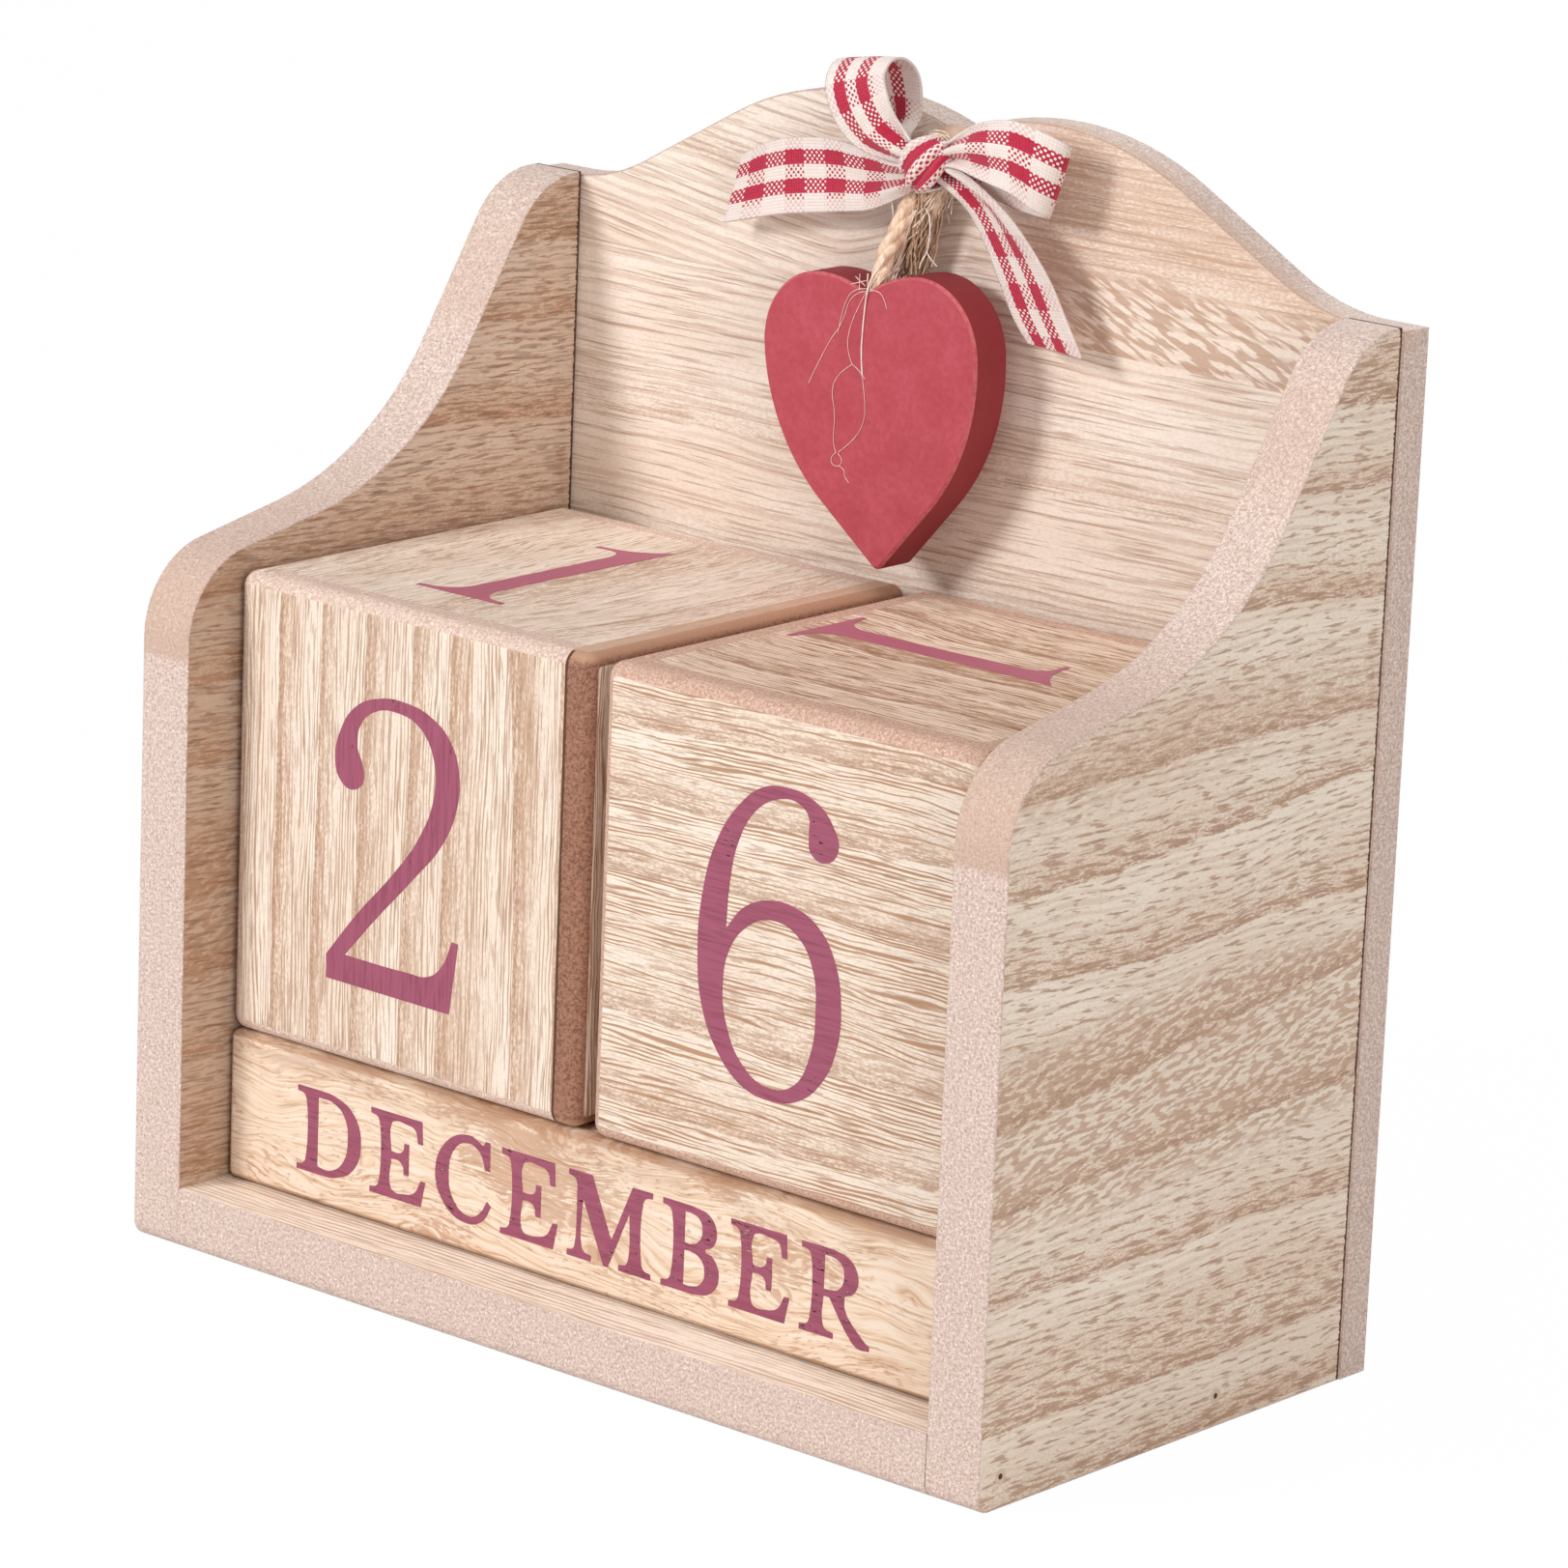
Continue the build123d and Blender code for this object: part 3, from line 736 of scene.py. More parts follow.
def on_twine(distance, radius, angle):
    """A point beside the twine's centre line."""
    i = next((k for k, s in enumerate(travelled) if s > distance), len(centre) - 1)
    i = max(i, 1)
    share = (distance - travelled[i - 1]) / (travelled[i] - travelled[i - 1])
    here = centre[i - 1].lerp(centre[i], share)
    ahead = (centre[min(i + 1, len(centre) - 1)] - centre[max(i - 2, 0)]).normalized()
    side = ahead.cross(Vector((0, 1, 0.2))).normalized()
    out = ahead.cross(side)
    return here + side * (radius * math.cos(angle)) + out * (radius * math.sin(angle))


def plies(count, offset, radius, pitch, step):
    made = []
    for k in range(count):
        points = []
        for i in range(int(twine_length / step) + 1):
            distance = i * step
            angle = 2 * math.pi * (distance / pitch + k / count)
            points.append(on_twine(distance, offset, angle))
        made.append(thread(points, radius, 3, 2))
    return made


def loose_fibres(count):
    """Fibres that lie along the twist, some of which lift away from it."""
    made = []
    for k in range(count):
        start = random.uniform(1, twine_length - 8)
        length = random.uniform(5, 13)
        angle = random.uniform(0, 2 * math.pi)
        lift = random.choice([0, 0, 0.2, 0.6, 1.6])
        points = []
        for i in range(7):
            share = i / 6
            distance = min(start + length * share, twine_length)
            away = TWINE_RADIUS + lift * share ** 2 + random.uniform(-0.1, 0.12)
            angle += random.uniform(0, 0.5)
            point = on_twine(distance, away, angle)
            if point.z > stem_height - 16:
                point.x = min(point.x, stem_x + 4.6)
                point.y = max(point.y, high("bow_knot", Y) + 0.2)
            points.append(point)
        made.append(thread(points, random.uniform(0.05, 0.13), 0, 3))
    return made


def frayed_fibres(count):
    """Untwisted fibres that hang from the knot, between the two strands and behind the heart."""
    made = []
    for k in range(count):
        root = (random.uniform(-2.2, 1.4), random.uniform(30.6, 33.6), stem_height - random.uniform(0.5, 5))
        tip = (random.uniform(-5.6, -1.6), random.uniform(30.6, 34.6), random.uniform(140.5, 148))
        sway = Vector((random.uniform(-1.6, 1.6), random.uniform(-0.6, 0.3), 0))
        points = []
        for i in range(6):
            bulge = sway * math.sin(i / 5 * math.pi)
            drift = Vector((random.uniform(-0.3, 0.3), 0, 0))
            points.append(Vector(root).lerp(Vector(tip), i / 5) + bulge + drift)
        made.append(thread(points, random.uniform(0.06, 0.14), 0, 3))
    return made


def add_strands(name, meshes, material, replaced=()):
    return add_piece(name, join(name, meshes), "hanging_heart", material, replaced)


twine = add_strands("jute_twine", plies(3, 0.66, 0.74, 11, 0.9), jute, ["twine_loop"])
fuzz = add_strands("jute_fibres", loose_fibres(300), fibre)
frays = add_strands("jute_frays", frayed_fibres(230), shaded_jute)
hairs_on_heart = [
    [(-4.6, 140.1), (-8.3, 139.7), (-9.8, 134.6), (-12.2, 131.9), (-15.5, 125.4)],
    [(-4.8, 140.3), (-7.8, 140.3), (-9.9, 137.2), (-10.5, 133.3)],
    [(-5.2, 140.7), (-7.4, 137), (-8.8, 133.2), (-8.5, 130.5), (-7.7, 129.3)],
    [(-7.7, 129.3), (-9.9, 127.9), (-11.4, 125.3), (-10.4, 121.9), (-10.7, 117.5), (-10, 116.4)],
    [(-7.7, 129.3), (-6.3, 128.7), (-5.3, 127.6)],
    [(-5.8, 128), (-5.1, 124.7), (-5, 121.6), (-6.9, 118.5), (-9.6, 116.5)],
    [(-10, 116.4), (-11, 115.6), (-10.6, 114.5), (-9.2, 114.5), (-8.7, 115.7), (-9.6, 116.3)],
    [(-9.3, 114.6), (-8.2, 114.2), (-8.4, 113.3), (-7.4, 112.5)],
    [(-7.8, 141.7), (-5.9, 140.6)],
    [(-8.5, 140.5), (-5.5, 141.5)],
    [(-7, 142.2), (-7, 139.9)],
    [(-5, 140.2), (-3.4, 140.3), (-2.4, 139.3), (-1.9, 138)],
]
white_hairs = [
    [(-3.6, 26.6, 144.6), (-4.3, 25.4, 142.6), (-5, 25.1, 141.2), (-5.7, 25.4, 138.6), (-6.1, 25.5, 134),
     (-6.2, 25.5, 130.9), (-5.8, 25.5, 128)],
    [(0, 30.6, 151.8), (1.3, 29.9, 151.4), (1.6, 29.9, 149.9), (1.5, 30, 147.7), (0.9, 30.3, 145.7),
     (0.3, 29.6, 144.3), (0.3, 29.6, 143.6)],
    [(0.9, 30.3, 145.7), (1.5, 30.6, 144.7), (2, 31.2, 143.9)],
]
flat_hairs = [[(x, heart_front_y - 0.1, z) for x, z in line] for line in hairs_on_heart]
strays = add_strands("stray_fibres", [thread(line, 0.06, 0, 8) for line in flat_hairs], hair)
pale_strays = add_strands("pale_strays", [thread(line, 0.11, 0, 8) for line in white_hairs], pale_hair)
[c * MM for c in twine_route()[1]]


# Painted numerals and letters, drawn in mm. A point with a third value is a corner.

def oval(x, z, half_wide, half_high):
    angles = [k * math.pi / 4 for k in range(8)]
    return [(x + half_wide * math.cos(angle), z + half_high * math.sin(angle)) for angle in angles]


NUMERALS = {
    "0": [oval(12.6, 21.3, 12.6, 21.6), oval(12.6, 21.3, 7.8, 20)],
    "1": [[(0, 0, 1), (16, 0, 1), (16, 0.9, 1), (12.6, 1.7), (10.7, 4), (10.4, 8), (10.4, 34),
        (10.6, 42, 1), (7.6, 39.4), (4.6, 37.9), (0.6, 37.3, 1), (0.5, 36.3, 1), (4.4, 36.3), (5.7, 34.4),
        (5.9, 30), (5.9, 8), (5.6, 4), (3.6, 1.7), (0, 0.9, 1)]],
    "2": [[(0.9, 31.6), (1.8, 36.2), (4.6, 40), (9.2, 42), (14, 42.3), (18.9, 41.2), (22.6, 38.5),
        (24.4, 34.2), (24.2, 29.6), (21.8, 24), (16, 17.4), (9.4, 10.6), (3.6, 4.2, 1), (15.6, 4.2),
        (19.6, 4.5), (22.2, 6.6), (23.9, 10.4, 1), (25.1, 10.3, 1), (24.4, 5.2), (23.7, 0, 1),
        (0.1, 0.2, 1), (0, 3.6, 1), (5.8, 10.6), (12.4, 17.6), (17.2, 23.8), (19.8, 30), (19.6, 35.4),
        (17, 39.2), (12.6, 40.6), (8.2, 39.9), (5.6, 37.6), (5, 34.6), (6, 32.2), (6.4, 29.8), (4.4, 28.1),
        (2, 29)]],
    "3": [[(1.2, 33.6), (2.2, 37.8), (6, 41.4), (12, 42.6), (18.2, 41.4), (22, 37.8), (22.6, 32.6),
        (20.6, 27.4), (15.6, 23.6, 1), (20.8, 21.6), (24.2, 17), (24.6, 11.4), (22.4, 5), (17.6, 1),
        (11.4, -0.2), (5, 1.2), (0.8, 5.2), (0.2, 9.4), (2.2, 11.8), (4.8, 11.4), (5.8, 9.2), (5.2, 6.6),
        (6, 3.6), (9.4, 1.6), (13.4, 1.8), (18, 5.2), (20, 11.2), (19, 17.4), (15, 21.6), (9.4, 22.4, 1),
        (9.4, 24.2, 1), (14.2, 25.2), (17.6, 28.6), (18.4, 33.2), (17, 38.2), (13.4, 40.8), (9.4, 40.8),
        (6.4, 38.8), (5.6, 36.6), (6.2, 34.2), (5.4, 31.8), (3.2, 31.2)]],
    "4": [[(9.6, 0, 1), (9.6, 0.9, 1), (13, 1.6), (15.2, 4), (15.4, 9.6, 1), (0, 9.6, 1), (0, 11.4, 1),
        (17.6, 42.4, 1), (19.8, 42.4, 1), (19.8, 11.6, 1), (26, 11.6, 1), (26, 9.6, 1), (19.8, 9.6, 1),
        (20, 4), (22, 1.6), (25.2, 0.9, 1), (25.2, 0, 1)], [(15.4, 11.6, 1), (2.4, 11.6, 1),
        (15.4, 35, 1)]],
    "5": [[(4.6, 42, 1), (8.6, 41), (14.6, 40.6), (22.4, 42.4, 1), (21, 37.8), (17, 35.8), (11, 35.6),
        (5.8, 36.6, 1), (5.5, 24.2, 1), (9, 26.4), (13.8, 27), (19.6, 25.2), (23.8, 20.4), (24.8, 13.6),
        (23, 6.4), (18, 1.2), (11.6, -0.2), (5.2, 1), (1, 4.6), (0.2, 8.8), (2.2, 11.2), (4.8, 10.8),
        (5.8, 8.6), (5.4, 5.8), (7.2, 2.8), (11.2, 1.4), (15.8, 3.2), (19.4, 8.4), (20, 14.6), (18.2, 21),
        (13.6, 24.8), (8.6, 23.8), (5.2, 20.6, 1), (3.9, 20.6, 1)]],
    "6": [[(14, 43), (19.2, 42.2), (22.6, 39.4), (23.6, 36.2), (21.6, 34.2), (19, 35), (18.5, 37.4),
        (18.4, 39.8), (16.6, 41.3), (13.2, 41.2), (9.2, 38.8), (6.4, 34), (5.2, 28.4), (4.8, 21.8, 1),
        (7.6, 25.2), (11.6, 27.1), (16.6, 27.2), (21, 25.2), (24, 21), (25.2, 15.4), (24.8, 9.8),
        (22.2, 4.2), (18, 0.8), (13, 0), (8.4, 1), (4, 4.8), (1, 10.6), (0, 17.4), (0.4, 25.4), (2.6, 33.4),
        (6.6, 39.4), (10.2, 42.2)], [(12.6, 24.6), (8.6, 22.9), (5.6, 19.2), (4.6, 14.2), (5.6, 8.4),
        (8.6, 3.8), (13, 1.7), (17.6, 3), (20.2, 7.6), (20.9, 13.6), (20, 19.8), (17, 23.6)]],
    "7": [[(0.8, 42, 1), (25.4, 42, 1), (25.4, 40.4, 1), (18, 26), (13.4, 13), (11.6, 0, 1), (6.6, 0, 1),
        (9.4, 13.6), (15.2, 27), (21.6, 37.6, 1), (6.6, 37.6), (3.6, 36.6), (1.4, 31.6, 1), (0, 31.8, 1)]],
    "8": [[(12.4, 42.6), (18.2, 41.2), (21.8, 37.2), (22.2, 32.2), (19.8, 27.2), (16, 24), (20.6, 20.8),
        (24.2, 16.2), (24.8, 10.6), (22.2, 4.6), (17.4, 0.9), (12.2, -0.2), (6.6, 1), (1.8, 5), (0.2, 10.4),
        (1.6, 15.8), (5.6, 20.2), (8.6, 22.4), (4.6, 26), (2.4, 31), (3, 36.8), (6.8, 41.2)], [(12.4, 41),
        (16.4, 39.2), (18.4, 34.8), (17.6, 29.6), (14.4, 25.4), (10.4, 27.4), (7, 31), (6.2, 35.6),
        (8.4, 39.6)], [(10, 21.4), (13, 19.2), (18, 14.8), (20.6, 9.6), (18.8, 4.2), (14.6, 1.6), (10, 1.8),
        (5.8, 5), (4.4, 10.4), (6, 16.6)]],
}

# Capitals 12 mm high

def foot(left, right):
    """The slab under a stroke, from its upper left corner round to its upper right one."""
    return [(left, 0.5, 1), (left, 0, 1), (right, 0, 1), (right, 0.5, 1)]


def head(right, left):
    """The slab over a stroke, from its lower right corner round to its lower left one."""
    return [(right, 11.5, 1), (right, 12, 1), (left, 12, 1), (left, 11.5, 1)]


def mirrored(half, width):
    """A whole outline from its left half."""
    return half + [(width - x, z, *corner) for x, z, *corner in reversed(half)]


STEM = [(0, 12, 1), (0, 11.5, 1), (1.2, 11.2), (1.7, 10.4), (1.7, 1.6), (1.2, 0.8), (0, 0.5, 1), (0, 0, 1)]
FOOT = [(5.6, 0, 1), (5.6, 0.5, 1), (4.2, 0.8), (3.7, 1.6)]
ARMS = [(3.7, 5.7, 1), (5.4, 5.7), (6.3, 5), (6.5, 3.9, 1), (7.1, 3.9, 1), (7.1, 8.1, 1), (6.5, 8.1, 1),
    (6.3, 7.1), (5.4, 6.5), (3.7, 6.5, 1), (3.7, 10.8), (4.4, 11.3), (6.6, 11.3), (8.5, 10.8), (9.1, 9, 1),
    (9.7, 9, 1), (9.5, 12, 1)]
SILL = [(9.6, 0, 1), (10.3, 3.4, 1), (9.7, 3.4, 1), (8.6, 1.5), (6.2, 0.7), (4.4, 0.7), (3.7, 1.3)]
ROUND_BACK = [(9.9, 12, 1), (9.3, 12, 1), (8.9, 11.4), (7.6, 11.8), (6.2, 12.2), (2.4, 10.8), (0, 6.1),
    (1.8, 1.6)]
ROUND_INSIDE = [(3.6, 1.9), (2.2, 6.3), (3.5, 10.2), (6.1, 11.4), (8.4, 10.4), (9.4, 8.2, 1), (10, 8.2, 1)]
LETTERS = {
    "A": [foot(0, 4) + [(2.9, 0.8), (2.5, 1.4), (3.2, 3.6, 1), (7.4, 3.6, 1), (8.2, 1.3), (7.9, 0.7)] +
        foot(6.9, 12.4) + [(11.4, 0.9), (10.8, 1.8), (6.8, 12.2, 1), (6.2, 12.2, 1), (1.8, 2), (1.1, 0.9)],
        [(3.5, 4.4, 1), (5.3, 9.2, 1), (7.1, 4.4, 1)]],
    "B": [STEM + [(5.4, 0, 1), (8.8, 0.9), (10, 3.3), (9, 5.6), (7.4, 6.4), (8.8, 7.4), (9.4, 9.2),
        (8.2, 11.3), (5.2, 12, 1)], [(3.7, 0.7, 1), (5.2, 0.7), (7.1, 1.5), (7.8, 3.4), (7, 5.2),
        (5.2, 5.9), (3.7, 5.9, 1)], [(3.7, 6.6, 1), (5, 6.6), (6.6, 7.4), (7.2, 9.1), (6.6, 10.7),
        (5, 11.3), (3.7, 11.3, 1)]],
    "C": [ROUND_BACK + [(6, -0.2), (8.9, 0.8), (10.3, 3, 1), (9.8, 3.4, 1), (8.6, 1.6), (6.6, 0.6)] +
        ROUND_INSIDE],
    "D": [STEM + [(4.6, 0, 1), (6.8, 0.15), (10.6, 2), (12.1, 6.1), (10.6, 10.1), (6.8, 11.85),
        (4.6, 12, 1)], [(3.7, 0.9, 1), (4.6, 0.7), (6.6, 0.8), (9, 2.6), (9.9, 6.1), (9, 9.7), (6.6, 11.2),
        (4.6, 11.3), (3.7, 11.3, 1)]],
    "E": [STEM + SILL + ARMS],
    "F": [STEM + FOOT + ARMS],
    "G": [ROUND_BACK + [(6.2, -0.2), (8.8, 0.3), (10.4, 1.2, 1), (10.4, 4.6), (10.8, 5.2), (11.6, 5.5, 1),
        (11.6, 6, 1), (6.9, 6, 1), (6.9, 5.5, 1), (8.2, 5.2), (8.5, 4.5), (8.5, 1.6, 1), (6.6, 0.55)] +
        ROUND_INSIDE],
    "H": [mirrored([(3.7, 6.4, 1), (3.7, 10.4), (4.2, 11.2)] + head(5.2, 0) + STEM[2:6] + foot(0, 5.2) +
        [(4.2, 0.8), (3.7, 1.6), (3.7, 5.6, 1)], 12.3)],
    "I": [mirrored(STEM, 5.4)],
    "J": [head(7.1, 1.9) + [(3, 11.2), (3.5, 10.4), (3.5, 2.6), (3, 0.7), (2.1, 0.3), (1.9, 0.9),
        (1.7, 1.9), (0.8, 2.1), (0, 1.2), (0.6, 0), (2.4, -0.4), (4.6, 0.4), (5.5, 2.8), (5.5, 10.4),
        (6, 11.2)]],
    "L": [head(5.3, 0) + STEM[2:] + [(8.8, 0, 1), (9.6, 3.6, 1), (9, 3.6, 1), (7.9, 1.5), (5.8, 0.7),
        (4.4, 0.7), (3.7, 1.4), (3.7, 10.4), (4.2, 11.2)]],
    "M": [[(0, 12, 1), (0, 11.5, 1), (1.1, 11.2), (1.6, 10.3, 1), (1.4, 1.6), (1, 0.8)] + foot(0, 4.1) +
        [(2.9, 0.8), (2.3, 1.6), (2.4, 9.2, 1), (6.7, 0, 1), (7.3, 0, 1), (11.2, 9.2, 1), (11.2, 1.6),
        (10.7, 0.8)] + foot(9.5, 15) + [(13.8, 0.8), (13.3, 1.6), (13.3, 10.4), (13.8, 11.2), (15, 11.5, 1),
        (15, 12, 1), (11.6, 12, 1), (7.9, 3.3, 1), (4, 12, 1)]],
    "N": [STEM[:3] + [(1.7, 10.3, 1)] + STEM[4:6] + foot(0, 4.2) + [(3, 0.8), (2.5, 1.6), (2.5, 8.9, 1),
        (9.6, 0, 1), (10.6, 0, 1), (10.6, 10.4), (11.1, 11.2)] + head(12.3, 8.1) +
        [(9.3, 11.2), (9.8, 10.4), (9.8, 3.1, 1), (2.9, 12, 1)]],
    "O": [oval(6, 6, 6, 6.2), oval(6, 6, 3.8, 5.5)],
    "P": [STEM + FOOT + [(3.7, 5.3, 1), (5.6, 5.3), (8.4, 6.2), (9.8, 8.7), (8.5, 11.1), (5.6, 12, 1)],
        [(3.7, 6, 1), (5.2, 6), (6.9, 6.7), (7.7, 8.7), (6.9, 10.7), (5.2, 11.3), (3.7, 11.3, 1)]],
    "R": [STEM + FOOT + [(3.7, 5.6, 1), (5, 5.6, 1), (8.6, 0.9), (10, -0.2), (11.9, -0.2, 1),
        (11.9, 0.2, 1), (11, 0.7), (7.3, 6), (8.9, 7), (9.6, 9), (8.3, 11.2), (5.6, 12, 1)], [(3.7, 6.3, 1),
        (5.2, 6.3), (6.8, 7), (7.5, 8.9), (6.8, 10.7), (5.2, 11.3), (3.7, 11.3, 1)]],
    "S": [[(7.4, 12.1, 1), (6.8, 12.1, 1), (6.5, 11.6), (5.6, 11.9), (4.3, 12.2), (1.4, 11.3), (0.3, 9),
        (1.3, 6.8), (4.4, 5.1), (6.2, 3.9), (6.6, 2.5), (5.8, 1), (4.2, 0.5), (2, 1.4), (0.8, 3.8, 1),
        (0.2, 3.8, 1), (0.3, -0.1, 1), (0.8, -0.1, 1), (1.2, 0.4), (2.3, 0.1), (4.3, -0.2), (7.3, 0.8),
        (8.4, 3.2), (7.5, 5.3), (4.9, 7), (2.5, 8.4), (2, 9.7), (2.7, 11), (4.2, 11.5), (6, 10.6),
        (7, 8.7, 1), (7.6, 8.7, 1)]],
    "T": [mirrored([(0.4, 12, 1), (0, 8.9, 1), (0.6, 8.9, 1), (1.5, 10.7), (3, 11.3), (4.2, 11.3, 1),
        (4.2, 1.6), (3.7, 0.8), (2.5, 0.5, 1), (2.5, 0, 1)], 10.4)],
    "U": [head(5.3, 0) + [(1.2, 11.2), (1.7, 10.4), (1.7, 4.2), (2.6, 1.2), (5.8, -0.2), (9.2, 0.8),
        (10.4, 4), (10.4, 10.4), (10.9, 11.2)] + head(12, 7.6) + [(8.9, 11.2), (9.4, 10.4), (9.4, 4),
        (8.6, 1.6), (6.2, 0.7), (4.4, 1.6), (3.7, 4.2), (3.7, 10.4), (4.2, 11.2)]],
    "V": [head(5.4, 0) + [(1, 11.1), (1.6, 10.2), (5.6, -0.2, 1), (6.2, -0.2, 1), (10.6, 10), (11.2, 11.1)]
        + head(12.2, 8.4) + [(9.5, 11.2), (9.8, 10.5), (6.9, 3.2, 1), (4, 10.6), (4.3, 11.3)]],
    "Y": [head(5.1, 0) + [(0.9, 11.2), (1.5, 10.5), (4.9, 5.2), (4.9, 1.6), (4.4, 0.8)] + foot(3.2, 8.6) +
        [(7.4, 0.8), (6.9, 1.6), (6.9, 5.2), (10.1, 10.4), (10.8, 11.2)] + head(11.8, 8) + [(9, 11.2),
        (9.2, 10.6), (6.5, 6.2, 1), (3.8, 10.6), (4.1, 11.3)]],
}
LETTER_GAP = 2.2


def written(word):
    """The outlines of a word, letter beside letter."""
    outlines = []
    start = 0
    for letter in word:
        for k, contour in enumerate(LETTERS[letter]):
            moved = [(point[0] + start, *point[1:]) for point in contour]
            outlines.append(moved if turns_left(contour) == (k == 0) else moved[::-1])
        start += max(point[0] for point in LETTERS[letter][0]) + LETTER_GAP
    return outlines


def ink_finish(name, along, worn=0):
    """Plum ink, thin enough to show the grain. Pores and chips leave the wood bare."""
    r = Recipe(name, 0.55, 0.3)
    spot = r.place()
    stretched = [c / (7 if i == along else 0.4) for i, c in enumerate(spot)]
    grain = r.noise(*stretched, 3, 0.65)
    pores = r.noise(*[c / (1.5 if i == along else 0.32) for i, c in enumerate(spot)], 2)
    patch = r.speckle(spot, 9)
    skin = r.mix(grain.rises(0.42, 0.7), colour(160, 84, 108), colour(140, 70, 92))
    bare = (pores + patch * 0.4 + worn).rises(0.93, 0.97)
    if worn:
        cracks = r.noise(spot[X] / 3, (spot[Z] + spot[Y]) / 0.25, 8, 1).rises(0.7, 0.73)
        bare = bare.math("MAXIMUM", cracks)
    else:
        # Painted light: ink on the faces that look up and down is made paler, for the light that falls on the
        # tops.
        skin = r.mix(r.facing()[Z] * 0.6, skin, colour(196, 116, 136))
    r.tree.links.new((1 - bare).socket, r.shader.inputs["Alpha"])
    return r.finish(skin, grain, 0.02)


ink_up = ink_finish("ink_on_upright_grain", Z)
ink_level = ink_finish("ink_on_level_grain", X)
ink_deep = ink_finish("ink_on_deep_grain", Y)
month_ink = ink_finish("ink_of_the_months", X, 0.07)
INK = 0.06


def turns_left(contour):
    """Whether an outline runs anticlockwise."""
    pairs = zip(contour, contour[1:] + contour[:1])
    return sum(a[0] * b[1] - b[0] * a[1] for a, b in pairs) > 0


def drawn(name, contours, middle, right, up, body, material, bolder=0):
    """A flat filled figure of ink on a surface, its own middle at the given place, in mm."""
    line = bpy.data.curves.new(name, "CURVE")
    line.dimensions = "2D"
    line.fill_mode = "BOTH"
    line.resolution_u = 5
    line.extrude = INK / 2
    line.offset = bolder
    for contour in contours:
        spline = line.splines.new("BEZIER")
        spline.bezier_points.add(len(contour) - 1)
        spline.use_cyclic_u = True
        for spot, point in zip(spline.bezier_points, contour):
            spot.co = (point[0], point[1], 0)
            kind = "VECTOR" if len(point) > 2 else "AUTO"
            spot.handle_left_type = kind
            spot.handle_right_type = kind
    mesh = mesh_of(line)
    right, up = Vector(right), Vector(up)
    out = right.cross(up)
    xs = [v.co.x for v in mesh.vertices]
    ys = [v.co.y for v in mesh.vertices]
    origin = Vector(middle) - right * ((min(xs) + max(xs)) / 2) - up * ((min(ys) + max(ys)) / 2)
    axes = Matrix((right, up, out)).transposed().to_4x4()
    mesh.transform(Matrix.Scale(MM, 4) @ Matrix.Translation(origin + out * (INK / 2)) @ axes)
    return add_piece(name, mesh, body, material)


def number_cube(cube, numerals, inks, spots):
    """A numeral on each face: front, top, left, right, back and bottom, with inks for the three axes.
    The front and top ones stand where spots says, and the rest in the middle of their faces."""
    left, right = low(cube + "_left", X), high(cube + "_right", X)
    front, back = low(cube + "_front", Y), high(cube + "_back", Y)
    bottom, top = low(cube + "_bottom", Z), high(cube + "_top", Z)
    x, y, z = (left + right) / 2, (front + back) / 2, (bottom + top) / 2
    (front_x, front_z), (top_x, top_y, top_along, top_up) = spots
    faces = [
        (Y, (front_x, front, front_z), (1, 0, 0), (0, 0, 1)),
        (Z, (top_x, top_y, top), top_along, top_up),
        (X, (left, y, z), (0, -1, 0), (0, 0, 1)),
        (X, (right, y, z), (0, 1, 0), (0, 0, 1)),
        (Y, (x, back, z), (-1, 0, 0), (0, 0, 1)),
        (Z, (x, y, bottom), (1, 0, 0), (0, -1, 0)),
    ]
    for numeral, (axis, middle, along, up) in zip(numerals, faces):
        drawn(f"{cube}_numeral_{numeral}", NUMERALS[numeral], middle, along, up, cube, inks[axis])


number_cube("tens_cube", "210345", (ink_up, ink_up, ink_deep),
            ((-37.2, 63.8), (-38.4, 0.6, (1, 0, 0), (0, 1, 0))))
number_cube("ones_cube", "610287", (ink_deep, ink_level, ink_level),
            ((31.5, 65.3), (27.8, 4.6, (0, -1, 0), (1, 0, 0))))

MONTHS = {
    "front": ("DECEMBER", "NOVEMBER", "OCTOBER", "SEPTEMBER"),
    "middle": ("AUGUST", "JULY", "JUNE", "MAY"),
    "rear": ("APRIL", "MARCH", "FEBRUARY", "JANUARY"),
}
WORD_X = -1.6
for bar, words in MONTHS.items():
    node = f"{bar}_month_bar"
    near, far, bottom, top = low(node, Y), high(node, Y), low(node, Z), high(node, Z)
    deep, level = (near + far) / 2, (bottom + top) / 2
    turns = [
        ((WORD_X, near, level - 0.3), (0, 0, 1)),
        ((WORD_X, deep, top), (0, 1, 0)),
        ((WORD_X, far, level), (0, 0, -1)),
        ((WORD_X, deep, bottom), (0, -1, 0)),
    ]
    for word, (middle, up) in zip(words, turns):
        drawn(f"word_{word.lower()}", written(word), middle, (1, 0, 0), up, f"{bar}_bar", month_ink, 0.17)


# Camera, light and stage

PHOTO_PIXELS = 1623
FOCAL_PIXELS = 7385
MIDDLE = Vector((0, 0, 0.09))
LAMPS = [
    ("key", (-0.65, -1.35, 0.8), 0.5, 15.8, (1, 0.985, 0.975)),
    ("top", (0.1, -0.3, 1.5), 1.4, 9.4, (1, 0.985, 0.97)),
    ("fill", (1.5, -0.7, 0.5), 0.9, 10.4, (1, 0.945, 0.895)),
    ("rear", (-0.6, 1.5, 0.8), 0.9, 11, (1, 0.985, 0.975)),
]
AMBIENT = 0.18


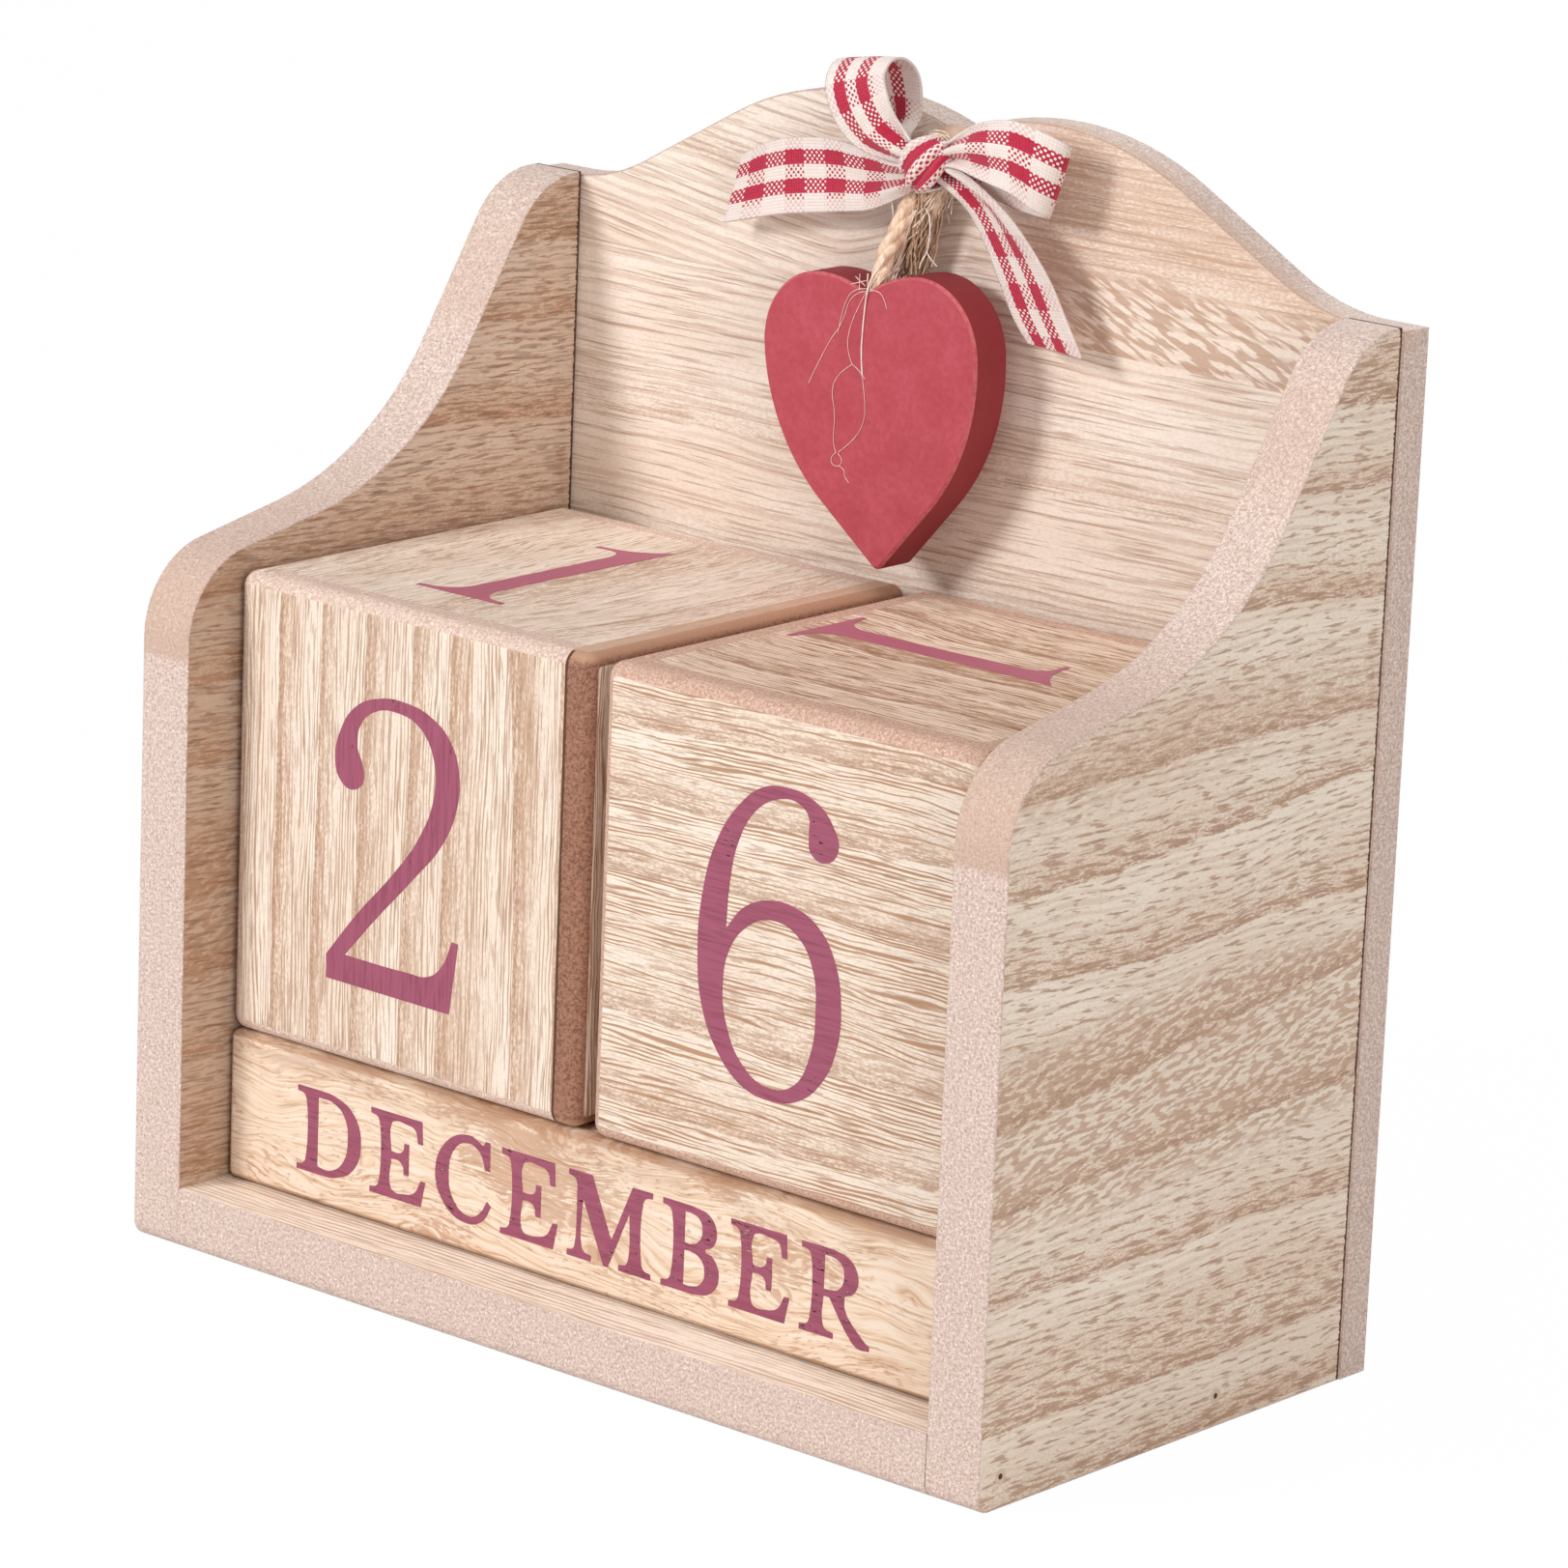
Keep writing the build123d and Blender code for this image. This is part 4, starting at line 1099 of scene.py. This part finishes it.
def add_camera():
    camera = bpy.data.cameras.new("camera")
    camera.sensor_width = 36
    camera.sensor_fit = "HORIZONTAL"
    camera.lens = camera.sensor_width * FOCAL_PIXELS / PHOTO_PIXELS
    camera.clip_end = 20
    holder = new_object("camera", camera)
    place = (0.61782, -0.72021, 0.32263)
    right, up, back = (0.75425, 0.65544, 0.03883), (-0.19405, 0.16602, 0.96684), (0.62726, -0.73677, 0.25241)
    holder.matrix_world = Matrix.Translation(place) @ Matrix((right, up, back)).transposed().to_4x4()
    bpy.context.scene.camera = holder


def add_lamp(name, place, size, watts, tint):
    lamp = bpy.data.lights.new(name, "AREA")
    lamp.shape = "DISK"
    lamp.size = size
    lamp.energy = watts
    lamp.color = tint
    holder = new_object(name, lamp)
    holder.location = place
    holder.rotation_euler = (MIDDLE - Vector(place)).to_track_quat("-Z", "Y").to_euler()


def add_floor():
    """A white floor that keeps the object's shadow, and shows as white to the camera."""
    bm = bmesh.new()
    bmesh.ops.create_grid(bm, x_segments=1, y_segments=1, size=4)
    floor = new_object("floor", smooth_mesh("floor", bm))
    r = Recipe("floor_white", 0.9, 0.1)
    seen = r.node("LightPath", {}, {}, "Is Camera Ray")
    glossy = r.node("LightPath", {}, {}, "Is Glossy Ray")
    glow = r.node("Emission", {}, {"Color": (1, 1, 1, 1), "Strength": 1})
    r.shader.inputs["Base Color"].default_value = (0.85, 0.85, 0.85, 1)
    share = (seen + glossy).math("MINIMUM", 1) * 0.985
    lit = Value(r, r.shader.outputs[0])
    both = r.node("MixShader", {}, {0: share, 1: lit, 2: glow})
    r.tree.links.new(both.socket, r.tree.nodes["Material Output"].inputs["Surface"])
    floor.data.materials.append(r.material)


def add_world():
    """Even light from all round, and white behind the object."""
    world = bpy.data.worlds.new("studio")
    world.use_nodes = True
    tree = world.node_tree
    ambient = tree.nodes["Background"]
    ambient.inputs["Color"].default_value = (1, 0.985, 0.97, 1)
    ambient.inputs["Strength"].default_value = AMBIENT
    white = tree.nodes.new("ShaderNodeBackground")
    white.inputs["Color"].default_value = (1, 1, 1, 1)
    path = tree.nodes.new("ShaderNodeLightPath")
    pick = tree.nodes.new("ShaderNodeMixShader")
    tree.links.new(path.outputs["Is Camera Ray"], pick.inputs[0])
    tree.links.new(ambient.outputs[0], pick.inputs[1])
    tree.links.new(white.outputs[0], pick.inputs[2])
    tree.links.new(pick.outputs[0], tree.nodes["World Output"].inputs[0])
    bpy.context.scene.world = world


add_camera()
add_world()
add_floor()
for lamp in LAMPS:
    add_lamp(*lamp)
bpy.context.scene.view_settings.view_transform = "Standard"
